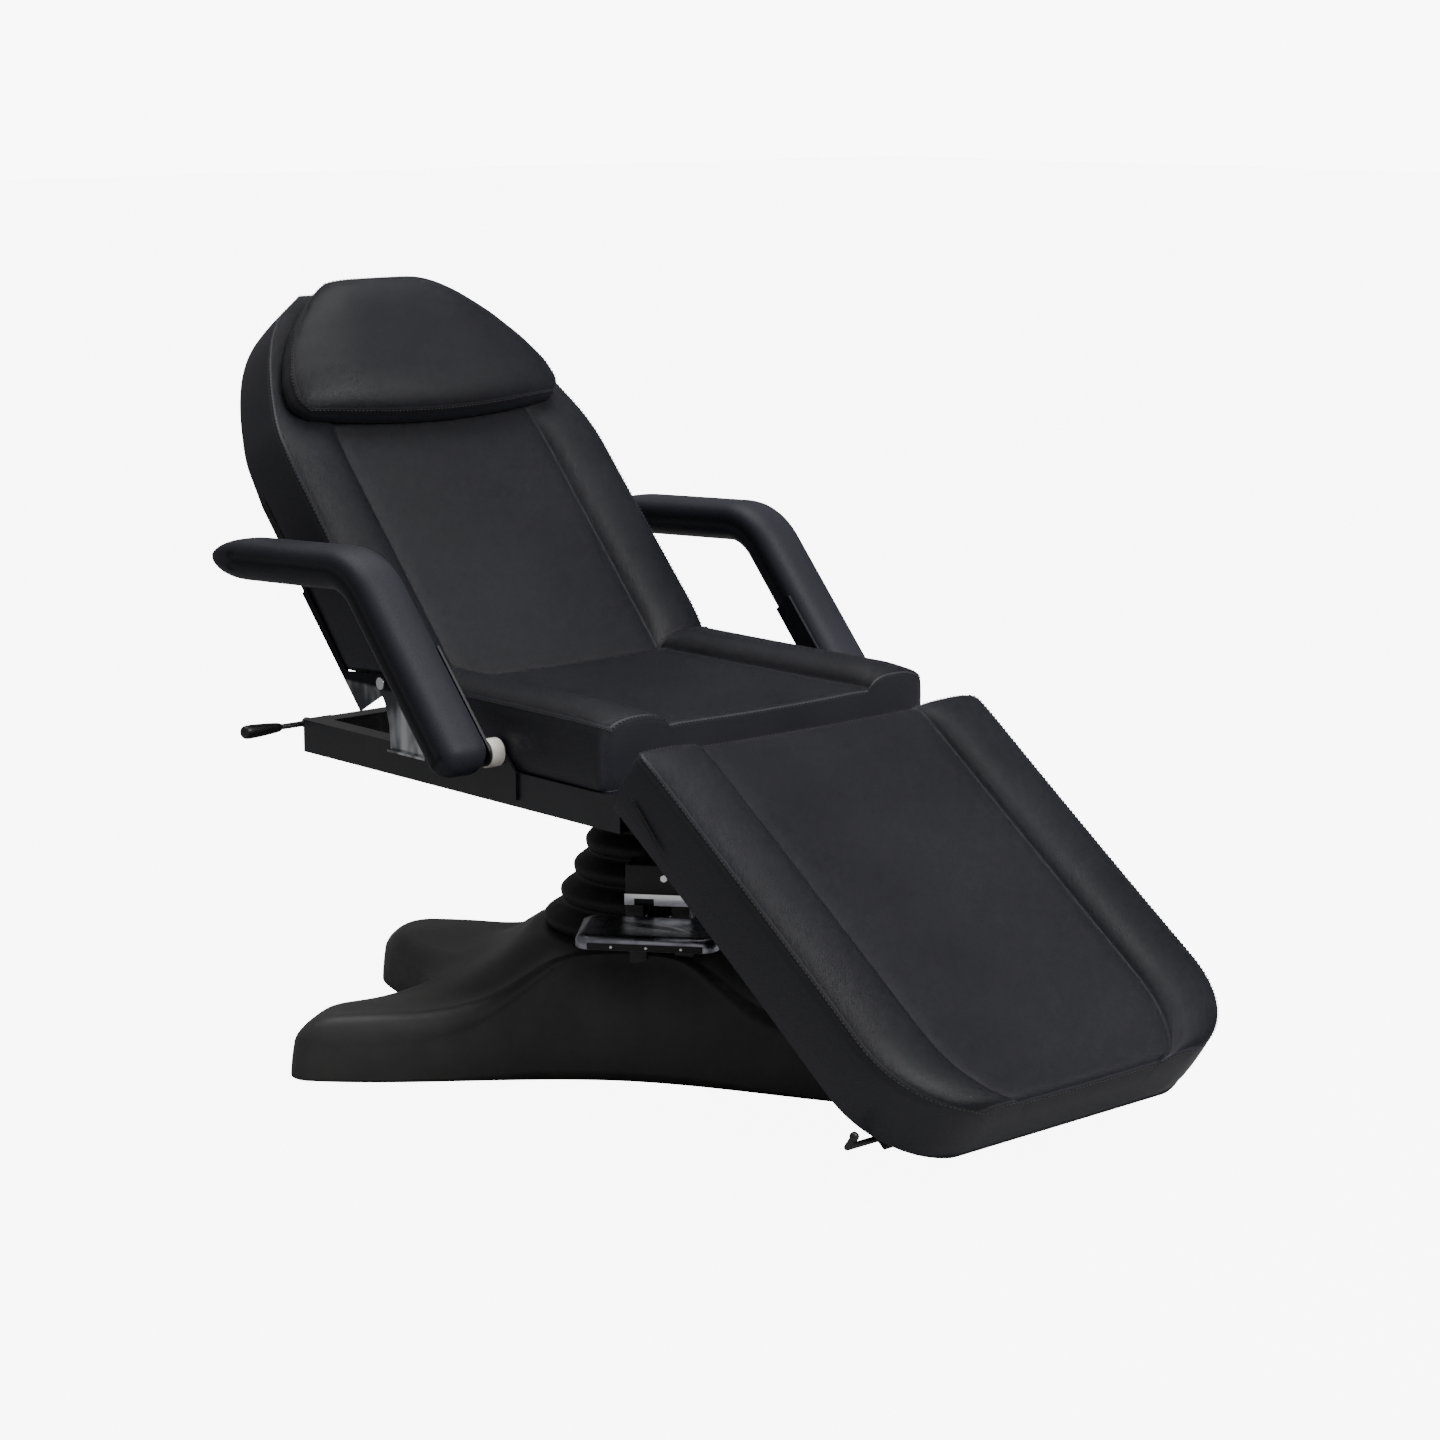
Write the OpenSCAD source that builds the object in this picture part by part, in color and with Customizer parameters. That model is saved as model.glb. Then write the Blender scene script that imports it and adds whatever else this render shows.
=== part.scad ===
/* [Base] */
// Length of the moulded base cover
base_len = 888; // [850:2:920]
// Width of the moulded base cover
base_w = 580; // [550:2:610]
// How far the base is turned under the table top
base_turn = 39.8; // [30:0.1:60]
// Radius of a base foot seen from above
foot_r = 34; // [30:1:40]
// Height of the cover's flat top under the bellows
cover_h = 162; // [156:1:168]
// Wall of the moulded cover
cover_wall = 4; // [3:0.5:5]
// Free height between the floor and the cover's lower edge
cover_lift = 3; // [2:0.5:5]
// Height of a rubber levelling foot
pad_h = 8; // [6:1:10]

/* [Hydraulic column] */
// Radius of the chromed ram
ram_r = 30; // [26:1:34]
// Outer radius of the fixed cylinder
cylinder_r = 42; // [39:1:46]
// Height of the cylinder's top above the floor
cylinder_top = 296; // [285:1:305]
// Largest radius of the rubber bellows
bellows_r = 146; // [138:1:150]
// Rubber wall of the bellows
bellows_wall = 3; // [2:0.5:4]

/* [Pedal and pump] */
// Width of the pedal plate
pedal_w = 176; // [150:2:200]
// Reach of the pedal plate away from the column
pedal_reach = 100; // [85:1:115]
// Height of the pedal's downturned rim
pedal_rim_h = 18; // [16:1:22]
// Width of the pump housing
pump_w = 88; // [76:1:96]
// Depth of the pump housing
pump_d = 46; // [40:1:52]
// Height of the pump housing's top above the floor
pump_top = 292; // [280:1:300]

/* [Frame] */
// Height of the frame's top face with the ram fully down
frame_top = 427; // [420:1:435]
// Height of the rectangular frame tube
tube_h = 46; // [40:1:50]
// Width of the rectangular frame tube
tube_w = 30; // [25:1:35]
// Wall of the frame tube
tube_wall = 2; // [1.5:0.5:3]
// Rear end of the rails, measured from the column's axis
frame_rear = 409; // [400:1:430]
// Front end of the rails, measured from the column's axis
frame_front = 281; // [275:1:290]

/* [Seat] */
// Width of the seat cushion
seat_w = 574; // [556:2:596]
// Front end of the seat, measured from the column's axis
seat_front = 250; // [240:1:254]
// Rear end of the seat, measured from the column's axis
seat_rear = 192; // [180:1:196]
// Thickness of the seat cushion at its edge
seat_t = 68; // [60:1:76]

/* [Backrest] */
// Angle of the backrest above level as shown
back_angle = 48.1; // [40:0.1:55]
// Length of the backrest
back_len = 655; // [630:1:680]
// Thickness of the backrest cushion at its edge
back_t = 78; // [70:1:84]
// Thickness of the plywood boards under the cushions
board_t = 12; // [10:1:15]
// Backrest hinge, behind the column's axis
back_pivot_y = 214; // [210:1:220]
// Backrest hinge, above the frame's top face
back_pivot_up = 79; // [77:1:85]

/* [Headrest] */
// Width of the headrest pillow
pillow_w = 480; // [440:2:500]
// Length of the headrest pillow along the backrest
pillow_len = 246; // [230:1:256]
// Thickness of the headrest pillow at its edge
pillow_t = 30; // [24:1:36]
// How far the pillow's lower edge lies up the backrest
pillow_start = 404; // [390:1:420]

/* [Leg rest] */
// Angle of the leg rest below level as shown
leg_angle = 36.1; // [28:0.1:38]
// Length of the leg rest
leg_len = 627; // [600:1:640]
// Thickness of the leg rest cushion at its edge
leg_t = 78; // [70:1:80]
// Radius of the two corners at the foot end
leg_corner = 130; // [110:1:150]
// Leg rest hinge, in front of the column's axis
leg_pivot_y = 269; // [265:1:270]
// Leg rest hinge, below the frame's top face
leg_pivot_down = 14.3; // [14:0.1:18]

/* [Armrests] */
// Height of the top of an armrest above the frame's top face
arm_top = 276; // [262:1:290]
// Width of an armrest pad
arm_w = 77; // [66:1:84]
// Thickness of an armrest pad
arm_t = 58; // [52:1:62]
// Distance from the frame's side to the armrest pad
arm_gap = 28; // [24:1:32]
// Armrest hinge, in front of the column's axis
arm_pivot_y = 36; // [30:1:45]
// Armrest hinge, above the frame's top face
arm_pivot_up = 23; // [22:1:28]
// Slope of the armrest's lower limb
arm_slope = 48.3; // [44:0.1:54]
// Rear end of the armrest, measured from the column's axis
arm_rear = 510; // [490:1:530]

/* [Fits] */
// Radial clearance of a pin that turns in its hole
pin_clear = 0.05; // [0.02:0.01:0.1]
// Clearance between parts that pass each other
gap = 1; // [0.6:0.1:1.5]

/* [Hidden] */
$fn = 48;

// Overrun of a cut past the face it opens
over = 1;
// Thickness of the steel plates of brackets, arms and clevises
plate_t = 4;
// Radii of the three sizes of pin
small_pin_r = 4;
hinge_pin_r = 5;
shaft_r = 7;

// Widths and heights that follow from the seat and the frame
rail_past_seat = 2;
leg_past_seat = 18;
frame_w = seat_w + 2 * rail_past_seat;
back_w = seat_w;
leg_w = seat_w + 2 * leg_past_seat;
frame_low = frame_top - tube_h;
frame_half = frame_w / 2;
rail_in = frame_half - tube_w;

// The backrest's own frame: its origin is the front lower edge, +Y runs up it, +Z to its face
back_pivot_along = -3.5;
back_pivot_deep = 12.6;
back_half = back_w / 2;
back_deep = back_t + board_t;

// The leg rest's own frame: its origin is the upper front edge, -Y runs down it, +Z to its face
leg_pivot_along = 6;
leg_pivot_deep = 100;
leg_half = leg_w / 2;
leg_deep = leg_t + board_t;
leg_board_start = 45;

// The whole table is centred over its footprint, which sets where the column stands
front_reach = leg_pivot_y + cos(leg_angle) * (leg_len - leg_pivot_along) + sin(leg_angle) * leg_pivot_deep;
rear_reach = back_pivot_y + cos(back_angle) * (back_len - back_pivot_along)
    + sin(back_angle) * (back_deep - back_pivot_deep);
column_y = (front_reach - rear_reach) / 2;

module at_column() {
    translate([0, column_y, 0]) children();
}

module on_base() {
    at_column() rotate([0, 0, base_turn]) children();
}

module on_back() {
    at_column() translate([0, back_pivot_y, frame_top + back_pivot_up]) rotate([back_angle, 0, 0])
        translate([0, -back_pivot_along, back_pivot_deep]) children();
}

module on_leg() {
    at_column() translate([0, -leg_pivot_y, frame_top - leg_pivot_down]) rotate([leg_angle, 0, 0])
        translate([0, leg_pivot_along, leg_pivot_deep]) children();
}

// A closed skin over rings of points, all rings with the same count, with a fan on each end ring
module skin(rings) {
    count = len(rings[0]);
    last = len(rings) - 1;
    middle = function(ring) [for (axis = [0:2]) let (values = [for (p = ring) p[axis]])
        (max(values) + min(values)) / 2];
    points = concat([for (ring = rings) for (p = ring) p], [middle(rings[0]), middle(rings[last])]);
    sides = [for (r = [0:last - 1]) for (i = [0:count - 1]) let (j = (i + 1) % count)
        each [[r * count + i, r * count + j, (r + 1) * count + j],
            [r * count + i, (r + 1) * count + j, (r + 1) * count + i]]];
    first_cap = [for (i = [0:count - 1]) [(i + 1) % count, i, len(points) - 2]];
    last_cap = [for (i = [0:count - 1]) [last * count + i, last * count + (i + 1) % count, len(points) - 1]];
    polyhedron(points = points, faces = concat(sides, first_cap, last_cap), convexity = 6);
}

// Shares of the half width at which a cushion's top is drawn, with a pair each side of the creases
top_shares = [-0.985, -0.93, -0.84, -0.74, -0.66, -0.6, -0.52, -0.36, -0.18, 0,
    0.18, 0.36, 0.52, 0.6, 0.66, 0.74, 0.84, 0.93, 0.985];
// Share of the half width where a side bolster meets the flat middle
crease_share = 0.64;

// Share of the edge's height where its side is widest, and how far the creases follow the middle
side_share = 0.35;
crease_drop_share = 0.4;

function ease(t) = let (u = max(0, min(1, t))) u * u * (3 - 2 * u);
// Height of a cushion's face over its seam: a rounded edge, a raised side bolster and a low middle
function face_height(share, bolster, middle) =
    let (a = abs(share))
    a > crease_share
        ? middle * crease_drop_share + bolster * sqrt(max(0, 1 - pow((a - (1 + crease_share) / 2) * 2 / (1 - crease_share), 2)))
        : middle * crease_drop_share + middle * (1 - crease_drop_share) * (1 - pow(a / crease_share, 2));

// One slice across a cushion, from the left lower edge over the face to the right lower edge
function slice(half, along, low, seam, lift, tuck, bolster, middle) = concat(
    [[-half + tuck, along, low], [-half, along, low + (seam - low) * side_share], [-half, along, seam - tuck]],
    [for (share = top_shares) [half * share, along, seam + lift * face_height(share, bolster, middle)]],
    [[half, along, seam - tuck], [half, along, low + (seam - low) * side_share], [half - tuck, along, low]]);

// Frame tube along X or Y, hollow and open at both ends
module tube_y(len) {
    difference() {
        translate([-tube_w / 2, 0, 0]) cube([tube_w, len, tube_h]);
        translate([-tube_w / 2 + tube_wall, -over, tube_wall])
            cube([tube_w - 2 * tube_wall, len + 2 * over, tube_h - 2 * tube_wall]);
    }
}

module tube_x(len) {
    rotate([0, 0, -90]) translate([0, -len / 2, 0]) tube_y(len);
}

// Pin or hole along X, centred on its length
module across(r, len) {
    rotate([0, 90, 0]) cylinder(r = r, h = len, center = true);
}

// Base: one moulded shell on four feet, with bowed ends, ridges over the feet and a flat top
foot_x = base_w / 2 - foot_r;
foot_y = base_len / 2 - foot_r;
side_bow = 62;
end_bow = 119;
foot_arc_angle = 108;
foot_angles = [for (i = [0:7]) foot_arc_angle * i / 7];
bow_shares = [0.8, 0.6, 0.4, 0.2, 0];
side_steps = 6;
top_rim = 4;
top_r = bellows_r + top_rim;
cover_hole_r = 118;
cover_top = cover_h + cover_lift;

// Heights of the ridge, the valley and the outer edge at shares of the distance to an end
ridge_table = [[0, 1], [0.189, 0.988], [0.293, 0.836], [0.349, 0.733], [0.403, 0.667], [0.459, 0.612],
    [0.565, 0.558], [0.709, 0.545], [0.804, 0.533], [0.901, 0.521], [0.957, 0.485], [1.018, 0.376]];
valley_table = [[0, 1], [0.338, 1], [0.405, 0.897], [0.495, 0.715], [0.597, 0.57], [0.687, 0.509],
    [0.777, 0.461], [1.018, 0.339]];
edge_table = [[0, 0.97], [0.18, 0.958], [0.309, 0.679], [0.421, 0.461], [0.552, 0.352], [0.739, 0.303],
    [0.901, 0.291], [1.018, 0.279]];
// Share of the half width by which the wall leans in, and over which the top rounds off
lean_table = [[0, 0.214], [0.194, 0.207], [0.327, 0.145], [0.444, 0.09], [0.574, 0.052],
    [0.739, 0.028], [1.018, 0.017]];
round_table = [[0, 0.048], [0.194, 0.069], [0.327, 0.159], [0.444, 0.214], [0.574, 0.207],
    [1.018, 0.155]];
ridge_at_share = 0.741;
ridge_half_share = 0.259;
flat_fade_share = 0.213;
fair_shares = [-0.05, -0.025, 0, 0.025, 0.05];

function faired(share, table) = let (near = [for (f = fair_shares) lookup(abs(share + f), table)])
    near * [for (n = near) 1] / len(near);
function rounded(share) = let (u = max(0, min(1, share))) sqrt(1 - (1 - u) * (1 - u));

function cover_quarter() = let (
    half_w = base_w / 2,
    last = foot_arc_angle,
    tip = [foot_x + foot_r * cos(last), foot_y + foot_r * sin(last)],
    end_y = base_len / 2 - end_bow)
    concat(
        [for (i = [0:side_steps - 1]) let (share = i / side_steps)
            [half_w - side_bow * (1 - ease(share)), foot_y * share]],
        [for (a = foot_angles) [foot_x + foot_r * cos(a), foot_y + foot_r * sin(a)]],
        [for (share = bow_shares) [tip[0] * share, end_y + (tip[1] - end_y) * pow(ease(share), 1.15)]]);

function cover_outline() = let (quarter = cover_quarter(), last = len(quarter) - 1) concat(
    quarter,
    [for (i = [last - 1:-1:0]) [-quarter[i][0], quarter[i][1]]],
    [for (i = [1:last]) [-quarter[i][0], -quarter[i][1]]],
    [for (i = [last - 1:-1:1]) [quarter[i][0], -quarter[i][1]]]);

// Height of the shell over a point, with the distance to the top of its wall
function cover_height(x, y, edge_gap) = let (
    share = abs(y) / (base_len / 2),
    ridge = faired(share, ridge_table),
    valley = faired(share, valley_table),
    inside = max(0, ridge_at_share - abs(x) / (base_w / 2)) / ridge_half_share,
    open = valley + (ridge - valley) * exp(-inside * inside),
    flat = 1 - ease((norm([x, y]) / top_r - 1) / flat_fade_share),
    high = open + (1 - open) * flat,
    edge = faired(share, edge_table),
    reach = faired(share, round_table) * base_w / 2)
    cover_top * (edge + (high - edge) * rounded(edge_gap / reach));

// Rings of the shell: from the hole out over the top, then down the wall
top_ring_shares = [0, 0.3, 0.45, 0.6, 0.72, 0.82, 0.9, 0.96, 1];
wall_ring_shares = [0.35, 0.7, 1];
function cover_rings(wall) = let (outline = cover_outline())
    concat(
        [for (s = top_ring_shares) [for (p = outline) let (
            r = norm(p),
            lean = faired(abs(p[1]) / (base_len / 2), lean_table) * base_w / 2,
            top = r - lean,
            at = cover_hole_r + (top - cover_hole_r) * s,
            flat = at * p / r,
            thin = s > 0 ? (at - wall) / at : 1)
            [flat[0] * thin, flat[1] * thin, cover_height(flat[0], flat[1], top - at) - wall]]],
        [for (s = wall_ring_shares) [for (p = outline) let (
            r = norm(p),
            lean = faired(abs(p[1]) / (base_len / 2), lean_table) * base_w / 2,
            at = r - lean * pow(1 - s, 1.6),
            rim = (r - lean) * p / r,
            high = cover_height(rim[0], rim[1], 0) - wall)
            [p[0] / r * (at - wall), p[1] / r * (at - wall), high + (cover_lift - high) * s]]]);

// A closed loop of rings, the last joined to the first
module ring_shell(rings) {
    count = len(rings[0]);
    all = len(rings);
    faces = [for (r = [0:all - 1]) for (i = [0:count - 1])
        let (j = (i + 1) % count, next = (r + 1) % all)
            each [[r * count + i, r * count + j, next * count + j], [r * count + i, next * count + j, next * count + i]]];
    polyhedron(points = [for (ring = rings) for (p = ring) p], faces = faces, convexity = 10);
}

module base_cover() {
    inner = cover_rings(cover_wall);
    post_top = cover_height(side_tube_x, post_y, post_edge_gap) - cover_wall / 2;
    color([0.07, 0.07, 0.07]) on_base() difference() {
        ring_shell(concat(cover_rings(0), [for (i = [len(inner) - 1:-1:0]) inner[i]]));
        translate([-pump_x - pump_d / 2 - gap, -pump_w / 2 - pump_y - gap, cover_h / 2])
            cube([pump_d + 2 * gap, pump_w + 2 * gap, cover_h]);
    }
    color([0.07, 0.07, 0.07]) on_base() for (sx = [-1, 1]) for (sy = [-1, 1])
        translate([sx * side_tube_x, sy * post_y, base_plate_z]) cylinder(r = post_r, h = post_top - base_plate_z);
}

// Steel chassis inside the cover: a tube along each side, one across, and the column's base plate
post_r = 8;
post_in = 35;
post_edge_gap = 90;
side_tube_w = 40;
side_tube_room = 23;
side_tube_x = base_w / 2 - side_bow - side_tube_room - side_tube_w / 2;
side_tube_short = 59;
side_tube_half = base_len / 2 - side_tube_short;
post_y = side_tube_half - post_in;
cross_tube_w = 60;
chassis_h = 40;
chassis_wall = 3;
chassis_z = pad_h;
base_plate_w = 170;
base_plate_t = 10;
base_plate_z = chassis_z + chassis_h;
column_bolt_r = 5;
column_bolt_in = 19;
column_bolt_at = base_plate_w / 2 - column_bolt_in;

module chassis_tube(width, len) {
    difference() {
        translate([-width / 2, -len / 2, 0]) cube([width, len, chassis_h]);
        translate([-width / 2 + chassis_wall, -len / 2 - over, chassis_wall])
            cube([width - 2 * chassis_wall, len + 2 * over, chassis_h - 2 * chassis_wall]);
    }
}

module base_frame() {
    color([0.12, 0.12, 0.13]) on_base() translate([0, 0, chassis_z]) difference() {
        union() {
            rotate([0, 0, 90]) chassis_tube(cross_tube_w, 2 * side_tube_x - side_tube_w);
            for (sx = [-1, 1]) translate([sx * side_tube_x, 0, 0])
                chassis_tube(side_tube_w, 2 * side_tube_half);
            for (sx = [-1, 1]) for (sy = [-1, 1])
                translate([sx * (side_tube_x + foot_pad_x) / 2, sy * foot_pad_y, foot_lug_t / 2])
                    cube([foot_pad_x - side_tube_x + foot_lug_w, foot_lug_w, foot_lug_t], center = true);
            translate([-base_plate_w / 2, -base_plate_w / 2, chassis_h]) cube([base_plate_w, base_plate_w, base_plate_t]);
            translate([-pump_x - pump_d / 2, -pump_w, chassis_h])
                cube([pump_x + pump_d / 2, pump_w, base_plate_t]);
        }
        column_bolt_places() translate([0, 0, chassis_h - over])
            cylinder(r = column_bolt_r + pin_clear, h = base_plate_t + 2 * over);
    }
}

module column_bolt_places() {
    for (sx = [-1, 1]) for (sy = [-1, 1]) translate([sx * column_bolt_at, sy * column_bolt_at, 0]) children();
}

// Levelling feet, on lugs that reach from the side tubes into the cover's feet
foot_pad_r = 24;
foot_pad_top_r = 20;
foot_pad_in = 6;
foot_pad_x = foot_x - foot_pad_in;
foot_lug_w = 40;
foot_lug_t = 6;
foot_pad_y = side_tube_half - foot_lug_w / 2;
module levelling_feet() {
    color([0.1, 0.1, 0.1]) on_base() for (sx = [-1, 1]) for (sy = [-1, 1])
        translate([sx * foot_pad_x, sy * foot_pad_y, 0]) cylinder(r1 = foot_pad_r, r2 = foot_pad_top_r, h = pad_h);
}

// Hydraulic column: a flanged cylinder, a gland and the ram that slides in it
flange_t = 8;
flange_z = base_plate_z + base_plate_t;
cylinder_floor = flange_z + flange_t;
ram_foot = cylinder_floor + gap;
gland_h = 14;
gland_rim = 5;
gland_r = cylinder_r + gland_rim;

module cylinder_tube() {
    color([0.15, 0.15, 0.16]) on_base() difference() {
        union() {
            translate([-base_plate_w / 2, -base_plate_w / 2, flange_z]) cube([base_plate_w, base_plate_w, flange_t]);
            translate([0, 0, flange_z]) cylinder(r = cylinder_r, h = cylinder_top - flange_z);
        }
        translate([0, 0, cylinder_floor]) cylinder(r = ram_r + gap, h = cylinder_top);
        column_bolt_places() translate([0, 0, flange_z - over])
            cylinder(r = column_bolt_r + pin_clear, h = flange_t + 2 * over);
    }
}

module cylinder_gland() {
    color([0.5, 0.5, 0.52]) on_base() translate([0, 0, cylinder_top]) difference() {
        cylinder(r = gland_r, h = gland_h);
        translate([0, 0, -over]) cylinder(r = ram_r + pin_clear, h = gland_h + 2 * over);
    }
}

bolt_head_h = 6;
column_bolt_head_r = 8.5;
module column_bolts() {
    color([0.6, 0.6, 0.62]) on_base() column_bolt_places() {
        translate([0, 0, flange_z + flange_t]) cylinder(r = column_bolt_head_r, h = bolt_head_h, $fn = 6);
        translate([0, 0, base_plate_z]) cylinder(r = column_bolt_r, h = base_plate_t + flange_t);
    }
}

ram_flange_up = 30;
ram_flange_z = cylinder_top + gland_h + ram_flange_up;
ram_flange_t = 8;
ram_flange_r = 72;
ram_top = ram_flange_z + ram_flange_t;
washer_t = 4;
washer_r = 60;
spigot_r = 20;
spigot_thread_r = 17;
swivel_plate_t = 8;

module ram() {
    color([0.8, 0.8, 0.82]) at_column() {
        translate([0, 0, ram_foot]) cylinder(r = ram_r, h = ram_top - ram_foot);
        translate([0, 0, ram_flange_z]) cylinder(r = ram_flange_r, h = ram_flange_t);
        translate([0, 0, ram_top]) cylinder(r = spigot_r, h = frame_low - ram_top);
        translate([0, 0, frame_low]) cylinder(r = spigot_thread_r, h = nut_h + over);
    }
}

nut_r = 30;
nut_h = 12;
module swivel_nut() {
    color([0.6, 0.6, 0.62]) at_column() translate([0, 0, frame_low + pin_clear]) difference() {
        cylinder(r = nut_r, h = nut_h, $fn = 6);
        translate([0, 0, -over]) cylinder(r = spigot_thread_r + pin_clear, h = nut_h + 2 * over);
    }
}

module thrust_washer() {
    color([0.85, 0.85, 0.8]) at_column() translate([0, 0, ram_top]) difference() {
        cylinder(r = washer_r, h = washer_t);
        translate([0, 0, -over]) cylinder(r = spigot_r + pin_clear, h = washer_t + 2 * over);
    }
}

// Bellows: five tiers, each narrower than the last, open inside
bellows_low = cover_top;
bellows_high = ram_flange_z - pin_clear;
tier_shares = [1, 0.84, 0.72, 0.61, 0.53];
tier_profile_shares = [[0, 0], [0.3, 0.5], [1, 0.9]];
tier_draw = 8;
tier_count = len(tier_shares);
tier_h = (bellows_high - bellows_low) / tier_count;

function tier_outline(grow) = [for (i = [0:tier_count - 1]) for (p = tier_profile_shares)
    [bellows_r * tier_shares[i] - tier_draw * p[0] + grow, bellows_low + (i + p[1]) * tier_h]];

module bellows() {
    top_r = bellows_r * tier_shares[tier_count - 1] - tier_draw;
    outer = concat(tier_outline(0), [[top_r, bellows_high]]);
    inner = concat(tier_outline(-bellows_wall), [[top_r - bellows_wall, bellows_high]]);
    back_again = [for (i = [len(inner) - 1:-1:0]) inner[i]];
    color([0.08, 0.08, 0.08]) at_column() rotate_extrude() polygon(concat(outer, back_again));
}

// Pump housing with the pedal that works it, on the base's long side
pump_off = 4;
pump_x = bellows_r + pump_d / 2 + pump_off;
pump_y = pump_w / 2;
pump_low = flange_z;
pump_pin_in = 12;
pedal_pivot_up = 54;
pedal_pivot_x = pump_x + pump_d / 2 - pump_pin_in;
pedal_pivot_z = cover_top + pedal_pivot_up;
pedal_arm_w = 26;
pedal_arm_h = 14;
pedal_press_room = 3.5;
pump_foot_z = pedal_pivot_z + pedal_arm_h + pedal_press_room;
plunger_r = 7;
plunger_x = pump_x - pump_d / 2 + pump_pin_in;
plunger_len = 34;
pump_bolt_r = 5;
pump_bolt_up = 38;
pump_bolt_shares = [0.6, 0.84];
pump_bore_room = 12;

// The housing is a bridge: two legs reach down into the base, and the pedal arm passes between them
arm_room = 6;
pump_leg_w = (pump_w - pedal_arm_w) / 2 - arm_room;

module pump_housing() {
    color([0.13, 0.13, 0.15]) on_base() translate([-pump_x, -pump_y, 0]) difference() {
        union() {
            translate([-pump_d / 2, -pump_w / 2, pump_foot_z + gap]) cube([pump_d, pump_w, pump_top - pump_foot_z - gap]);
            for (sy = [-1, 1]) translate([-pump_d / 2, sy * (pump_w - pump_leg_w) / 2 - pump_leg_w / 2, pump_low])
                cube([pump_d, pump_leg_w, pump_top - pump_low]);
        }
        translate([pump_x - plunger_x, 0, pump_foot_z]) cylinder(r = plunger_r + pin_clear, h = plunger_len + pump_bore_room);
        translate([pump_x - pedal_pivot_x, 0, pedal_pivot_z]) rotate([90, 0, 0])
            cylinder(r = small_pin_r + pin_clear, h = pump_w + 2 * over, center = true);
    }
}

module pump_bolts() {
    color([0.75, 0.75, 0.77]) on_base() for (at = pump_bolt_shares)
        translate([-pump_x - pump_d / 2, -pump_w * at, pump_foot_z + pump_bolt_up]) rotate([0, -90, 0])
            cylinder(r = pump_bolt_r, h = bolt_head_h / 2, $fn = 6);
}

// Chromed stiffener across the housing's face, with a window over the pedal arm
bracket_rise = 15;
bracket_wall = 3;
window_at_share = 0.55;
window_share = 0.3;
window_rise = 9;
module pedal_bracket() {
    color([0.8, 0.8, 0.82]) on_base() translate([-pump_x - pump_d / 2 - bracket_wall, -pump_w, pump_foot_z + gap])
        difference() {
            cube([bracket_wall, pump_w, bracket_rise]);
            translate([-over, pump_w * window_at_share, -over])
                cube([bracket_wall + 2 * over, pump_w * window_share, window_rise + over]);
        }
}

module pedal_pin() {
    color([0.7, 0.7, 0.72]) on_base() translate([-pedal_pivot_x, -pump_y, pedal_pivot_z]) rotate([90, 0, 0])
        cylinder(r = small_pin_r, h = pump_w, center = true);
}

// The pedal is drawn about its pin, level, and droops a little before it is pressed
pedal_droop_angle = 4;
pedal_tail = 30;
pedal_start = 21;
pedal_plate_t = 3;
pedal_corner = 20;
pedal_shift = 30;

module on_pedal() {
    on_base() translate([-pedal_pivot_x, -pump_y, pedal_pivot_z]) rotate([0, -pedal_droop_angle, 0]) children();
}

module rounded_rect(w, d, r) {
    for (x = [-1, 1]) for (y = [-1, 1]) translate([x * (w / 2 - r), y * (d / 2 - r)]) circle(r = r);
    square([w - 2 * r, d], center = true);
    square([w, d - 2 * r], center = true);
}

module pedal_arm() {
    color([0.15, 0.15, 0.16]) on_pedal() difference() {
        translate([-pedal_start - pedal_reach + pedal_plate_t + pin_clear, -pedal_arm_w / 2, -pedal_arm_h / 2])
            cube([pedal_tail + pedal_start + pedal_reach - pedal_plate_t - pin_clear, pedal_arm_w, pedal_arm_h]);
        rotate([90, 0, 0]) cylinder(r = small_pin_r + pin_clear, h = pedal_arm_w + 2 * over, center = true);
    }
}

// A pressed plate with a flange turned down all round, open towards the column
module pedal_plate() {
    color([0.85, 0.85, 0.87]) on_pedal()
        translate([-pedal_start - pedal_reach / 2, pump_y - pedal_shift, pedal_arm_h / 2 + pedal_plate_t - pedal_rim_h])
            difference() {
                linear_extrude(pedal_rim_h) rounded_rect(pedal_reach, pedal_w, pedal_corner);
                translate([0, 0, -over]) linear_extrude(pedal_rim_h - pedal_plate_t + over)
                    rounded_rect(pedal_reach - 2 * pedal_plate_t, pedal_w - 2 * pedal_plate_t, pedal_corner - pedal_plate_t);
                translate([0, -pedal_w / 2 - over, -over])
                    cube([pedal_reach, pedal_w + 2 * over, pedal_rim_h - pedal_plate_t + over]);
            }
}

strip_h = 11;
strip_t = 2;
strip_up = 2;
rivet_up = 7;
module pedal_rim() {
    color([0.06, 0.06, 0.06]) on_pedal()
        translate([-pedal_start - pedal_reach - strip_t, pump_y - pedal_shift - pedal_w / 2 + pedal_corner,
                pedal_arm_h / 2 + pedal_plate_t - pedal_rim_h + strip_up])
            cube([strip_t, pedal_w - 2 * pedal_corner, strip_h]);
}

rivet_r = 3;
rivet_shares = [0.15, 0.5, 0.85];
module pedal_rivets() {
    color([0.85, 0.85, 0.87]) on_pedal() for (at = rivet_shares)
        translate([-pedal_start - pedal_reach - strip_t, pump_y - pedal_shift - pedal_w / 2 + pedal_corner
                + at * (pedal_w - 2 * pedal_corner), pedal_arm_h / 2 + pedal_plate_t - pedal_rim_h + rivet_up])
            rotate([0, -90, 0]) cylinder(r = rivet_r, h = strip_t);
}

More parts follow.
